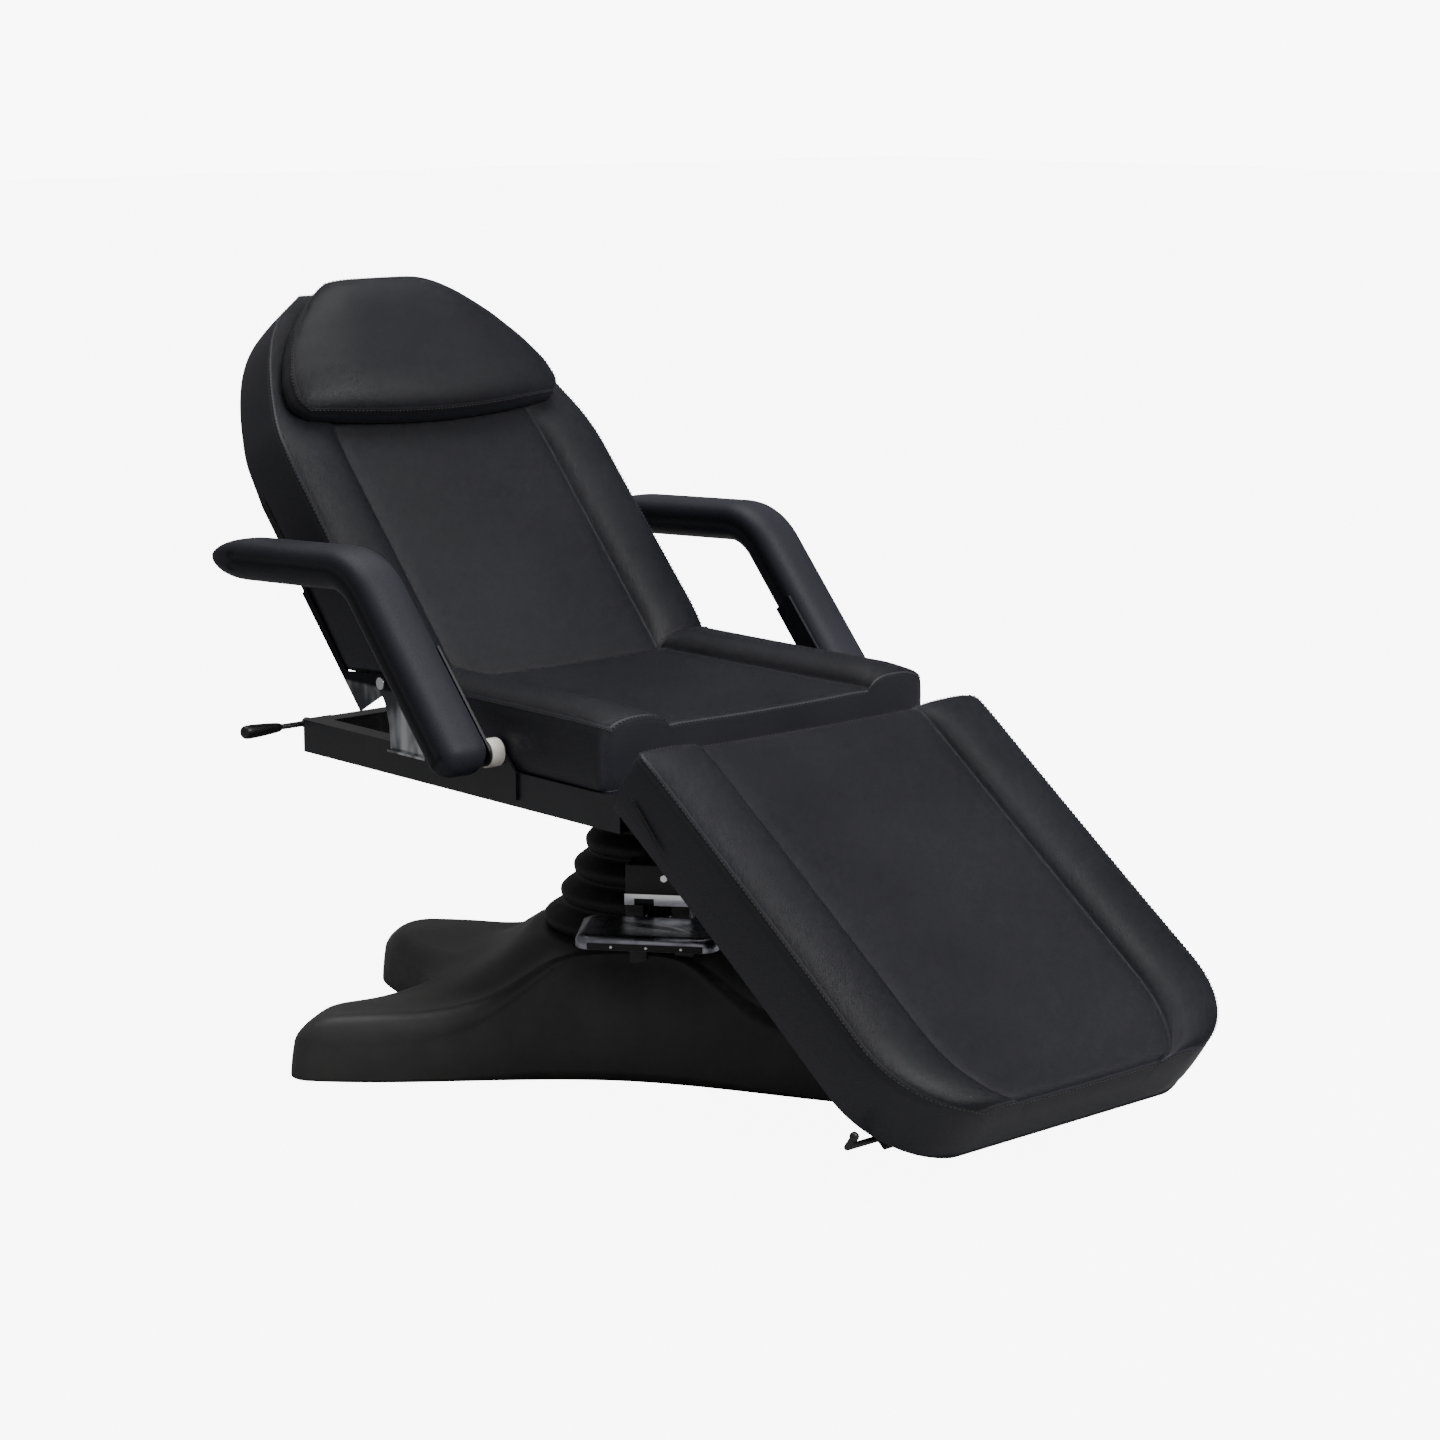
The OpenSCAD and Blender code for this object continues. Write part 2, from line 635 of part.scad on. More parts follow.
// The plunger's foot waits just above the tail of the pedal arm, which rises to its end
plunger_out = pedal_pivot_x - plunger_x;
plunger_wait = 0.4;
plunger_foot = pedal_pivot_z + pedal_arm_h / 2 / cos(pedal_droop_angle)
    + (plunger_out + plunger_r) * tan(pedal_droop_angle) + plunger_wait;
module pump_plunger() {
    color([0.8, 0.8, 0.82]) on_base() translate([-plunger_x, -pump_y, plunger_foot])
        cylinder(r = plunger_r, h = plunger_len);
}

// Table frame: two side rails joined by cross tubes, with the swivel plate under two of them
beam_y = 95;
strut_tube_y = 150;
front_tube_in = 56;
front_tube_y = frame_front - front_tube_in;
swivel_plate_w = 230;
hub_r = 46;
shaft_end_in = tube_wall + gap;

module rail(side) {
    at_column() difference() {
        translate([side * (frame_half - tube_w / 2), -frame_front, frame_low]) tube_y(frame_front + frame_rear);
        translate([side * (frame_half - tube_w), -leg_pivot_y, frame_top - leg_pivot_down])
            across(shaft_r + pin_clear, tube_w);
    }
}

module left_rail() {
    color([0.1, 0.1, 0.12]) rail(-1);
}

module right_rail() {
    color([0.1, 0.1, 0.12]) rail(1);
}

module cross_tube(y) {
    color([0.1, 0.1, 0.12]) at_column() translate([0, y, frame_low]) tube_x(2 * rail_in);
}

module rear_cross_tube() {
    cross_tube(frame_rear - tube_w / 2);
}

module front_cross_tube() {
    cross_tube(-front_tube_y);
}

module strut_cross_tube() {
    cross_tube(strut_tube_y);
}

module swivel_beams() {
    cross_tube(-beam_y);
    cross_tube(beam_y);
}

module swivel_plate() {
    color([0.15, 0.15, 0.16]) at_column() difference() {
        union() {
            translate([-swivel_plate_w / 2, -swivel_plate_w / 2, frame_low - swivel_plate_t])
                cube([swivel_plate_w, swivel_plate_w, swivel_plate_t]);
            translate([0, 0, ram_top + washer_t + pin_clear])
                cylinder(r = hub_r, h = frame_low - swivel_plate_t - ram_top - washer_t - pin_clear + gap / 2);
        }
        translate([0, 0, ram_top]) cylinder(r = spigot_r + pin_clear, h = frame_low);
    }
}

// Gas strut: a cylinder and a rod, each with an eye that turns on a pin between two cheeks
eye_w = 24;
eye_r = 10;
eye_neck_r = 8;
strut_r = 11;
rod_r = 5;
strut_bore_r = 8;
cheek_t = 4;
cheek_x = eye_w / 2 + gap;
cheek_r = 13;

module strut_cylinder(len) {
    difference() {
        union() {
            across(eye_r, eye_w);
            translate([0, small_pin_r + gap, 0]) rotate([-90, 0, 0]) cylinder(r = eye_neck_r, h = 2 * eye_r);
            translate([0, eye_r + over, 0]) rotate([-90, 0, 0]) cylinder(r = strut_r, h = len - eye_r - over);
        }
        across(small_pin_r + pin_clear, eye_w + 2 * over);
        translate([0, 2 * eye_r, 0]) rotate([-90, 0, 0]) cylinder(r = strut_bore_r, h = len);
    }
}

module strut_rod(len) {
    difference() {
        union() {
            across(eye_r, eye_w);
            translate([0, -len, 0]) rotate([-90, 0, 0]) cylinder(r = rod_r, h = len - eye_r / 2);
        }
        across(small_pin_r + pin_clear, eye_w + 2 * over);
    }
}

// Two cheeks with a pin; the cheeks rise from a foot that is foot_up above the pin
module cheeks(foot_up, foot_half) {
    for (side = [-1, 1]) translate([side * (cheek_x + cheek_t / 2) - cheek_t / 2, 0, 0]) rotate([90, 0, 90])
        linear_extrude(cheek_t) {
            circle(r = cheek_r);
            polygon([[-cheek_r, 0], [cheek_r, 0], [foot_half, foot_up], [-foot_half, foot_up]]);
        }
    across(small_pin_r, 2 * (cheek_x + cheek_t));
}

back_strut_y = 175;
back_strut_down = 30;
strut_foot_short = 3;
leg_strut_y = 120;
leg_strut_down = 40;
back_eye_along = 130;
back_eye_down = 13;
back_eye_deep = back_deep + cheek_r + back_eye_down;
leg_eye_along = 230;
leg_eye_down = 20;
leg_eye_deep = leg_deep + leg_eye_down;

function back_at(along, deep) = [
    back_pivot_y + (along - back_pivot_along) * cos(back_angle) + (deep - back_pivot_deep) * sin(back_angle),
    frame_top + back_pivot_up + (along - back_pivot_along) * sin(back_angle)
        - (deep - back_pivot_deep) * cos(back_angle)];
function leg_at(along, deep) = [
    -leg_pivot_y - (along - leg_pivot_along) * cos(leg_angle) + (deep - leg_pivot_deep) * sin(leg_angle),
    frame_top - leg_pivot_down - (along - leg_pivot_along) * sin(leg_angle)
        - (deep - leg_pivot_deep) * cos(leg_angle)];

back_foot = [back_strut_y, frame_low - back_strut_down];
back_eye = back_at(back_eye_along, back_eye_deep);
back_strut_angle = atan2(back_eye[1] - back_foot[1], back_eye[0] - back_foot[0]);
leg_foot = [-leg_strut_y, frame_low - leg_strut_down];
leg_eye = leg_at(leg_eye_along, leg_eye_deep);
leg_strut_angle = atan2(leg_foot[1] - leg_eye[1], leg_foot[0] - leg_eye[0]);
back_cylinder_len = 162;
back_rod_len = 156;
leg_cylinder_len = 200;
leg_rod_len = 215;

module back_strut_bracket() {
    color([0.1, 0.1, 0.12]) at_column() {
        translate([0, back_foot[0], back_foot[1]]) cheeks(back_strut_down - plate_t, cheek_r);
        translate([-cheek_x - cheek_t, strut_tube_y - tube_w / 2, frame_low - plate_t])
            cube([2 * (cheek_x + cheek_t), back_strut_y - strut_foot_short - strut_tube_y + tube_w / 2, plate_t]);
    }
}

module leg_strut_bracket() {
    color([0.1, 0.1, 0.12]) at_column() {
        translate([0, leg_foot[0], leg_foot[1]]) cheeks(leg_strut_down - swivel_plate_t, cheek_r);
        translate([-cheek_x - cheek_t, -leg_strut_y - cheek_r, frame_low - swivel_plate_t])
            cube([2 * (cheek_x + cheek_t), cheek_r + leg_strut_y - swivel_plate_w / 2, swivel_plate_t]);
    }
}

module back_strut_cylinder() {
    color([0.12, 0.12, 0.13]) at_column() translate([0, back_foot[0], back_foot[1]])
        rotate([back_strut_angle, 0, 0]) strut_cylinder(back_cylinder_len);
}

module back_strut_rod() {
    color([0.8, 0.8, 0.82]) at_column() translate([0, back_eye[0], back_eye[1]])
        rotate([back_strut_angle, 0, 0]) strut_rod(back_rod_len);
}

module leg_strut_cylinder() {
    color([0.12, 0.12, 0.13]) at_column() translate([0, leg_foot[0], leg_foot[1]])
        rotate([leg_strut_angle + 180, 0, 0]) strut_cylinder(leg_cylinder_len);
}

module leg_strut_rod() {
    color([0.8, 0.8, 0.82]) at_column() translate([0, leg_eye[0], leg_eye[1]])
        rotate([leg_strut_angle + 180, 0, 0]) strut_rod(leg_rod_len);
}

module leg_hinge_shaft() {
    color([0.7, 0.7, 0.72]) at_column() translate([0, -leg_pivot_y, frame_top - leg_pivot_down])
        across(shaft_r, 2 * (frame_half - shaft_end_in));
}

// Backrest hinge: a chromed fin on each rail, with an eye beside the backrest's own plate
fin_foot = 84;
fin_back = 17;
fin_eye_r = 13;
fin_foot_up = 12;
fin_lip = 6;
fin_lip_t = 3;
fin_rear_shares = [[0.85, 0.4], [0.3, 0.72]];
fin_edge_shares = [[0.22, 0.93], [0.42, 0.55], [0.7, 0.22], [1, 0]];

module hinge_fin(side) {
    foot_z = frame_top - fin_foot_up;
    rise = back_pivot_up + fin_foot_up;
    x = side > 0 ? frame_half : -frame_half - plate_t;
    color([0.82, 0.82, 0.84]) at_column() difference() {
        union() {
            translate([x, back_pivot_y, foot_z]) rotate([90, 0, 90]) linear_extrude(plate_t) {
                translate([0, rise]) circle(r = fin_eye_r);
                polygon(concat(
                    [[-fin_back - fin_foot, 0], [-fin_back, 0]],
                    [for (s = fin_rear_shares) [-fin_back * s[0], rise * s[1]]],
                    [[fin_eye_r, rise], [-fin_eye_r, rise]],
                    [for (s = fin_edge_shares) [-fin_back - s[0] * fin_foot, s[1] * rise + fin_foot_up * (1 - s[1])]]));
            }
            translate([side > 0 ? frame_half : -frame_half - plate_t - fin_lip, back_pivot_y - fin_back - fin_foot, foot_z])
                cube([plate_t + fin_lip, fin_foot, fin_lip_t]);
        }
        translate([side * frame_half, back_pivot_y, frame_top + back_pivot_up])
            across(hinge_pin_r + pin_clear, 4 * plate_t);
    }
}

module left_hinge_bracket() {
    hinge_fin(-1);
}

module right_hinge_bracket() {
    hinge_fin(1);
}

hinge_plate_x = back_half - plate_t;
bolt_head_r = 8.5;
module hinge_bolts() {
    bolt_len = frame_half + plate_t - hinge_plate_x + plate_t;
    color([0.8, 0.8, 0.82]) at_column() for (side = [-1, 1])
        translate([side * (hinge_plate_x - plate_t + bolt_len / 2), back_pivot_y, frame_top + back_pivot_up]) {
            across(hinge_pin_r, bolt_len);
            translate([side * (bolt_len / 2 + plate_t / 2), 0, 0]) across(bolt_head_r, plate_t);
        }
}

// Armrest hinge: a plate on each rail carries a chromed disc and its pin
arm_bolt_r = 6;
arm_disc_r = 19;
arm_eye_r = 17;
arm_foot_half = 40;
arm_foot_up = 36;
arm_plate_x = frame_half + arm_gap - plate_t;
arm_pivot_z = frame_top + arm_pivot_up;

module arm_bracket(side) {
    color([0.1, 0.1, 0.12]) at_column() difference() {
        translate([side > 0 ? frame_half : -frame_half - plate_t, -arm_pivot_y, arm_pivot_z]) rotate([90, 0, 90])
            linear_extrude(plate_t) {
                circle(r = arm_eye_r);
                polygon([[-arm_foot_half, -arm_pivot_up - arm_foot_up], [arm_foot_half, -arm_pivot_up - arm_foot_up],
                    [arm_foot_half, -arm_pivot_up], [arm_eye_r, 0], [-arm_eye_r, 0], [-arm_foot_half, -arm_pivot_up]]);
            }
        translate([side * frame_half, -arm_pivot_y, arm_pivot_z]) across(arm_bolt_r + pin_clear, 4 * plate_t);
    }
}

module left_arm_bracket() {
    arm_bracket(-1);
}

module right_arm_bracket() {
    arm_bracket(1);
}

module arm_pivot_discs() {
    disc_t = arm_plate_x - frame_half - plate_t - 2 * pin_clear;
    pin_len = arm_plate_x + plate_t - gap / 2 - frame_half;
    color([0.85, 0.85, 0.87]) at_column() for (side = [-1, 1]) translate([0, -arm_pivot_y, arm_pivot_z]) {
        translate([side * (frame_half + plate_t + pin_clear + disc_t / 2), 0, 0]) across(arm_disc_r, disc_t);
        translate([side * (frame_half + pin_len / 2), 0, 0]) across(arm_bolt_r, pin_len);
    }
}

// Seat
board_inset = 8;
seat_half = seat_w / 2;
seat_board_top = frame_top + board_t;

module seat_board() {
    color([0.55, 0.4, 0.25]) at_column()
        translate([-seat_half + board_inset, -seat_front + board_inset, frame_top])
            cube([seat_w - 2 * board_inset, seat_front + seat_rear - 2 * board_inset, board_t]);
}

// Stations along a cushion: fine steps at each rounded end, even steps between
edge_r = 15;
edge_shares = [0, 0.12, 0.45, 1, 2.2];
edge_drop = 12;
lift_len = 60;
edge_tuck = 4;
soft_tuck = 3;
function stations(len, count) = concat(
    [for (s = edge_shares) s * edge_r],
    [for (i = [1:count]) let (start = edge_shares[4] * edge_r) start + (len - 2 * start) * i / (count + 1)],
    [for (i = [len(edge_shares) - 1:-1:0]) len - edge_shares[i] * edge_r]);
function end_rise(d) = let (u = min(1, d / edge_r)) sqrt(1 - (1 - u) * (1 - u));
function end_lift(d) = ease(d / lift_len);

// Rings of a whole cushion: half_at gives its half width at each station
function cushion(len, count, low, seam, bolster, middle, half_at) = [
    for (along = stations(len, count))
        let (d = min(along, len - along), rise = end_rise(d))
            slice(half_at(along) - edge_tuck * (1 - rise), along, low,
                seam - edge_drop * (1 - rise), end_lift(d), soft_tuck, bolster, middle)];

seat_bolster = 20;
seat_middle = -9;
seat_steps = 7;

module seat_cushion() {
    color([0.1, 0.1, 0.11]) at_column() translate([0, -seat_front, seat_board_top])
        skin(cushion(seat_front + seat_rear, seat_steps, 0, seat_t, seat_bolster, seat_middle, function(y) seat_half));
}

// Recline lever at the rear of the frame
lever_rod_r = 4;
lever_pin_r = 2.5;
lever_lug_r = 8;
lever_y = 13;
lever_down = 9;
lever_out = 29;
lever_in = 150;
lever_pivot_in = 16;
grip_len = 53;
grip_tip_len = 12;
grip_neck_r = 6;
grip_r = 10;
grip_tip_r = 8;
pivot_w = 44;
pivot_h = 16;

module recline_pivot() {
    color([0.12, 0.12, 0.13]) at_column() translate([-frame_half + lever_pivot_in, frame_rear, frame_top - lever_down]) {
        translate([-pivot_h / 2, 0, -pivot_h / 2]) cube([pivot_w, lever_y - lever_rod_r - gap, pivot_h]);
        rotate([-90, 0, 0]) cylinder(r = lever_pin_r, h = lever_y + lever_rod_r + gap);
    }
}

module recline_rod() {
    color([0.8, 0.8, 0.82]) at_column() translate([-frame_half + lever_pivot_in, frame_rear + lever_y, frame_top - lever_down])
        difference() {
            union() {
                translate([(lever_in - lever_out) / 2 - lever_pivot_in, 0, 0]) across(lever_rod_r, lever_in + lever_out);
                rotate([90, 0, 0]) cylinder(r = lever_lug_r, h = 2 * lever_rod_r, center = true);
            }
            rotate([90, 0, 0]) cylinder(r = lever_pin_r + pin_clear, h = 4 * lever_rod_r, center = true);
        }
}

module recline_grip() {
    color([0.06, 0.06, 0.06]) at_column() translate([-frame_half - lever_out, frame_rear + lever_y, frame_top - lever_down])
        rotate([0, -90, 0]) union() {
            cylinder(r1 = grip_neck_r, r2 = grip_r, h = grip_len);
            translate([0, 0, grip_len]) cylinder(r1 = grip_r, r2 = grip_tip_r, h = grip_tip_len);
        }
}

// Backrest: straight sides, shoulders that draw in, and a lower end cut level when it is up
back_shape_shares = [[0, 0.985], [0.02, 1], [0.54, 1], [0.62, 0.98], [0.7, 0.918], [0.77, 0.858],
    [0.84, 0.78], [0.9, 0.69], [0.95, 0.585], [0.985, 0.44], [1, 0.3]];
back_bolster = 13;
back_middle = 6;
back_steps = 12;
// Slope of the lower end, and how far up the backrest it starts at the face
back_cut_share = 0.75;
back_cut_start = 2;
back_board_start = 76;
back_board_short = 12;
// The face lies flat from a little below the pillow
pillow_room = 45;

function back_half_at(along) = back_half * lookup(along / back_len, back_shape_shares);
function back_outline(inset) = [for (share = back_shape_shares) let (along = share[0] * (back_len - back_board_short))
    if (along > back_board_start) [back_half * share[1] - inset, along]];
function mirrored(points) = [for (i = [len(points) - 1:-1:0]) [-points[i][0], points[i][1]]];

module back_board() {
    side = concat([[back_half - plate_t, back_board_start]], back_outline(plate_t));
    color([0.12, 0.12, 0.13]) on_back() translate([0, 0, -back_deep]) linear_extrude(board_t)
        polygon(concat(side, mirrored(side)));
}

module back_cushion() {
    rings = [for (along = stations(back_len, back_steps))
        let (d = min(along, back_len - along), rise = end_rise(d), under = pillow_start - pillow_room - along)
            slice(back_half_at(along) - edge_tuck * (1 - rise), along, -back_t, -edge_drop * (1 - rise),
                end_lift(min(d, under)), soft_tuck, back_bolster, back_middle)];
    color([0.1, 0.1, 0.11]) on_back() difference() {
        skin(rings);
        translate([-back_w, 0, 0]) rotate([90, 0, 90]) linear_extrude(2 * back_w)
            polygon([[-back_w, over], [back_cut_start, over], [back_cut_start, 0],
                [back_cut_start + back_t * back_cut_share, -back_t],
                [back_cut_start + back_t * back_cut_share, -back_t - over], [-back_w, -back_t - over]]);
    }
}

// Hinge plate: an eye beside the fin, a web under the slanted lower end and a strip along the board
hinge_eye_r = 11.5;
hinge_eye_angles = [40:20:200];
hinge_web_low = 2;
hinge_strip = 200;

module hinge_plate(side) {
    eye = [back_pivot_along, -back_pivot_deep];
    eye_arc = [for (a = hinge_eye_angles) eye + hinge_eye_r * [cos(a), sin(a)]];
    web_foot = [eye_arc[0][0] + (back_t + eye_arc[0][1]) * back_cut_share, -back_t];
    color([0.82, 0.82, 0.84]) on_back() translate([side > 0 ? hinge_plate_x : -back_half, 0, 0])
        rotate([90, 0, 90]) linear_extrude(plate_t) difference() {
            polygon(concat([[hinge_web_low, -back_deep], [hinge_strip, -back_deep], [hinge_strip, -back_t], web_foot],
                eye_arc));
            translate(eye) circle(r = hinge_pin_r + pin_clear);
        }
}

module left_hinge_plate() {
    hinge_plate(-1);
}

module right_hinge_plate() {
    hinge_plate(1);
}

clevis_foot_half = 20;
module back_clevis() {
    color([0.1, 0.1, 0.12]) on_back() translate([0, back_eye_along, -back_eye_deep])
        cheeks(back_eye_deep - back_deep, clevis_foot_half);
}

// Head pillow: a D seen from the front, its straight edge downwards
pillow_shape_shares = [[0, 0.93], [0.08, 1], [0.25, 0.98], [0.45, 0.9], [0.65, 0.77], [0.85, 0.58],
    [0.95, 0.45], [1, 0.36]];
pillow_crown = 28;
pillow_droop = 24;
pillow_steps = 8;
pillow_edge = 12;

module head_pillow() {
    half_at = function(along) pillow_w / 2 * lookup(along / pillow_len, pillow_shape_shares);
    rings = [for (along = stations(pillow_len, pillow_steps))
        let (d = min(along, pillow_len - along), rise = end_rise(d))
            slice(half_at(along) - pillow_edge * (1 - rise), along, 0, pillow_t - edge_drop * (1 - rise),
                end_lift(d / 2), soft_tuck, 0, pillow_crown)];
    bent = [for (ring = rings) [for (p = ring)
        [p[0], p[1] + pillow_droop * pow(2 * p[0] / pillow_w, 2) * (1 - p[1] / pillow_len), p[2]]]];
    color([0.1, 0.1, 0.11]) on_back() translate([0, pillow_start, 0]) skin(bent);
}

// Leg rest: square at the seat, two large round corners at the foot end
leg_bolster = 16;
leg_middle = -6;
leg_steps = 7;
leg_corner_angles = [20, 38, 54, 68, 80];
leg_board_short = 27;

function leg_stations() = let (straight = leg_len - leg_corner) concat(
    [for (s = edge_shares) s * edge_r],
    [for (i = [1:leg_steps]) straight * i / leg_steps],
    [for (a = leg_corner_angles) straight + leg_corner * sin(a)],
    [for (s = [edge_shares[1], edge_shares[0]]) leg_len - s * edge_r / 2]);
function leg_half_at(along) = let (u = max(0, along - leg_len + leg_corner))
    leg_half - leg_corner + sqrt(max(0, leg_corner * leg_corner - u * u));

module leg_cushion() {
    rings = [for (along = leg_stations())
        let (d = min(along, leg_len - along), rise = end_rise(d))
            slice(leg_half_at(along) - edge_tuck * (1 - rise), along, -leg_t, -edge_drop * (1 - rise),
                end_lift(d), soft_tuck, leg_bolster, leg_middle)];
    color([0.1, 0.1, 0.11]) on_leg() mirror([0, 1, 0]) skin(rings);
}

// Two wooden cleats under the board carry the release rod
release_short = 62;
release_along = leg_len - release_short;
release_r = 4;
cleat_w = 14;
cleat_len = 26;
cleat_h = 18;
leg_board_inset = 16;
cleat_at = [-70, -250];

module leg_board() {
    far = leg_len - leg_board_short;
    low_half = leg_half - leg_board_inset;
    color([0.12, 0.12, 0.13]) on_leg() mirror([0, 1, 0]) {
        translate([0, 0, -leg_deep]) linear_extrude(board_t) {
            translate([-low_half, leg_board_start]) square([2 * low_half, far - leg_corner - leg_board_start]);
            translate([-low_half + leg_corner, far - leg_corner - over]) square([2 * (low_half - leg_corner), leg_corner + over]);
            for (side = [-1, 1]) translate([side * (low_half - leg_corner), far - leg_corner]) circle(r = leg_corner);
        }
        for (x = cleat_at) difference() {
            translate([x - cleat_w / 2, release_along - cleat_len / 2, -leg_deep - cleat_h])
                cube([cleat_w, cleat_len, cleat_h]);
            translate([x, release_along, -leg_pivot_deep]) across(release_r + pin_clear, 2 * cleat_w);
        }
    }
}

leg_arm_x = 251;
leg_arm_t = 5;
leg_arm_len = 230;
leg_arm_eye = 14;
module leg_arm(side) {
    color([0.1, 0.1, 0.12]) on_leg() mirror([0, 1, 0])
        translate([side > 0 ? leg_arm_x : -leg_arm_x - leg_arm_t, 0, 0])
            difference() {
                rotate([90, 0, 90]) linear_extrude(leg_arm_t) {
                    translate([leg_pivot_along, -leg_pivot_deep]) circle(r = leg_arm_eye);
                    translate([leg_pivot_along, -leg_deep - 2 * (leg_pivot_deep - leg_deep)])
                        square([leg_arm_len - leg_pivot_along, 2 * (leg_pivot_deep - leg_deep)]);
                }
                translate([0, leg_pivot_along, -leg_pivot_deep]) across(shaft_r + pin_clear, 4 * leg_arm_t);
            }
}

module left_leg_arm() {
    leg_arm(-1);
}

module right_leg_arm() {
    leg_arm(1);
}

module leg_clevis() {
    color([0.1, 0.1, 0.12]) on_leg() mirror([0, 1, 0]) translate([0, leg_eye_along, -leg_eye_deep])
        cheeks(leg_eye_deep - leg_deep, clevis_foot_half);
}

release_in = 30;
release_out = 312;
release_up = 20;
release_knob_r = 6;
module leg_release() {
    color([0.05, 0.05, 0.05]) on_leg() mirror([0, 1, 0]) translate([0, release_along, -leg_pivot_deep]) {
        translate([-(release_in + release_out) / 2, 0, 0]) across(release_r, release_out - release_in);
        translate([-release_out, 0, 0]) sphere(r = release_r);
        translate([-release_out, 0, 0]) cylinder(r = release_r, h = release_up);
        translate([-release_out, 0, release_up]) sphere(r = release_knob_r);
    }
}

// Armrests: a straight lower limb, a bend and a drooping rear limb, as rings along one path
arm_x = frame_half + arm_gap;
arm_level_z = arm_top - arm_t / 2 - arm_pivot_up;
arm_bend = 90;
arm_droop_angle = 3;
arm_tip = 28;
arm_rear_tip = 100;
arm_low_start = -24;
arm_ring_count = 20;
arm_square_share = 0.75;
arm_tip_share = 0.4;
arm_side_share = 0.7;
arm_flat = 4;
arm_tip_shares = [0, 0.1, 0.35, 0.7, 1];
arm_rear_tip_shares = [1, 0.6, 0.3, 0.12, 0.04, 0.01];
arm_bend_shares = [0.75, 0.5, 0.25];
arm_limb_shares = [0.4, 0.75];

// Each station of the path: y and z from the pivot, its slope, and how full the section is there
function arm_path() = let (
    low_way = [cos(arm_slope), sin(arm_slope)],
    rear_way = [cos(arm_droop_angle), -sin(arm_droop_angle)],
    turn = arm_slope + arm_droop_angle,
    tangent = arm_bend * tan(turn / 2),
    corner = [arm_level_z / tan(arm_slope), arm_level_z],
    limb_len = norm(corner) - tangent,
    centre = low_way * limb_len + arm_bend * [sin(arm_slope), -cos(arm_slope)],
    rear_len = (arm_rear + arm_pivot_y - corner[0]) / cos(arm_droop_angle),
    straight = rear_len - tangent - arm_rear_tip,
    full = function(share) sqrt(1 - pow(1 - share, 2)) * (1 - arm_tip_share) + arm_tip_share,
    station = function(at, slope, fill) [at[0], at[1], slope, fill])
    concat(
        [for (share = arm_tip_shares) station(low_way * (arm_low_start + share * arm_tip), arm_slope, full(share))],
        [for (share = arm_limb_shares) station(low_way * limb_len * share, arm_slope, 1)],
        [station(low_way * limb_len, arm_slope, 1)],
        [for (share = arm_bend_shares) let (a = turn * share - arm_droop_angle)
            station(centre + arm_bend * [-sin(a), cos(a)], a, 1)],
        [station(corner + rear_way * tangent, -arm_droop_angle, 1)],
        [for (share = arm_limb_shares)
            station(corner + rear_way * (tangent + straight * share), -arm_droop_angle, 1)],
        [for (share = arm_rear_tip_shares)
            station(corner + rear_way * (rear_len - share * arm_rear_tip), -arm_droop_angle,
                pow(1 - pow(1 - share, 2), 0.75))]);

function power(value, share) = sign(value) * pow(abs(value), share);

module arm_pad(side) {
    rings = [for (p = arm_path()) [for (i = [0:arm_ring_count - 1])
        let (a = 360 * i / arm_ring_count,
            wide = arm_w / 2 + (cos(a) < 0 ? arm_flat : 0),
            round_out = wide * power(cos(a), arm_square_share) * (arm_side_share + (1 - arm_side_share) * p[3]),
            out = max(-arm_w / 2, round_out),
            up = arm_t / 2 * power(sin(a), arm_square_share) * p[3])
            [arm_x + arm_w / 2 + out, p[0] - up * sin(p[2]), p[1] + up * cos(p[2])]]];
    color([0.1, 0.1, 0.11]) at_column() translate([0, -arm_pivot_y, arm_pivot_z])
        mirror([side > 0 ? 0 : 1, 0, 0]) skin(rings);
}

module left_arm_pad() {
    arm_pad(-1);
}

module right_arm_pad() {
    arm_pad(1);
}

arm_plate_len = 160;
module arm_plate(side) {
    color([0.1, 0.1, 0.12]) at_column() translate([side > 0 ? arm_plate_x : -arm_plate_x - plate_t, -arm_pivot_y, arm_pivot_z])
        rotate([arm_slope, 0, 0]) rotate([90, 0, 90]) linear_extrude(plate_t) difference() {
            union() {
                circle(r = arm_eye_r);
                translate([0, -arm_eye_r]) square([arm_plate_len, 2 * arm_eye_r]);
            }
            circle(r = arm_bolt_r + pin_clear);
        }
}

module left_arm_plate() {
    arm_plate(-1);
}

module right_arm_plate() {
    arm_plate(1);
}

base_cover();
base_frame();
levelling_feet();
cylinder_tube();
cylinder_gland();
column_bolts();
bellows();
pump_housing();
pump_bolts();
pedal_bracket();
pedal_pin();
pedal_arm();
pedal_plate();
pedal_rim();
pedal_rivets();
pump_plunger();
ram();
thrust_washer();
swivel_nut();
swivel_plate();
swivel_beams();
left_rail();
right_rail();
rear_cross_tube();
front_cross_tube();
strut_cross_tube();
back_strut_bracket();
leg_strut_bracket();
leg_hinge_shaft();
left_hinge_bracket();
right_hinge_bracket();
hinge_bolts();
left_arm_bracket();
right_arm_bracket();
arm_pivot_discs();
seat_board();
seat_cushion();
recline_pivot();
back_board();
back_cushion();
left_hinge_plate();
right_hinge_plate();
back_clevis();
head_pillow();
leg_board();
leg_cushion();
left_leg_arm();
right_leg_arm();
leg_clevis();
leg_release();
left_arm_plate();
left_arm_pad();
right_arm_plate();
right_arm_pad();
recline_rod();
recline_grip();
back_strut_cylinder();
back_strut_rod();
leg_strut_cylinder();
leg_strut_rod();
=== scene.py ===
# The looks of the massage table, dressed over its fixed CAD frame
import math

import bmesh
import bpy
import numpy as np
from mathutils import Matrix, Vector


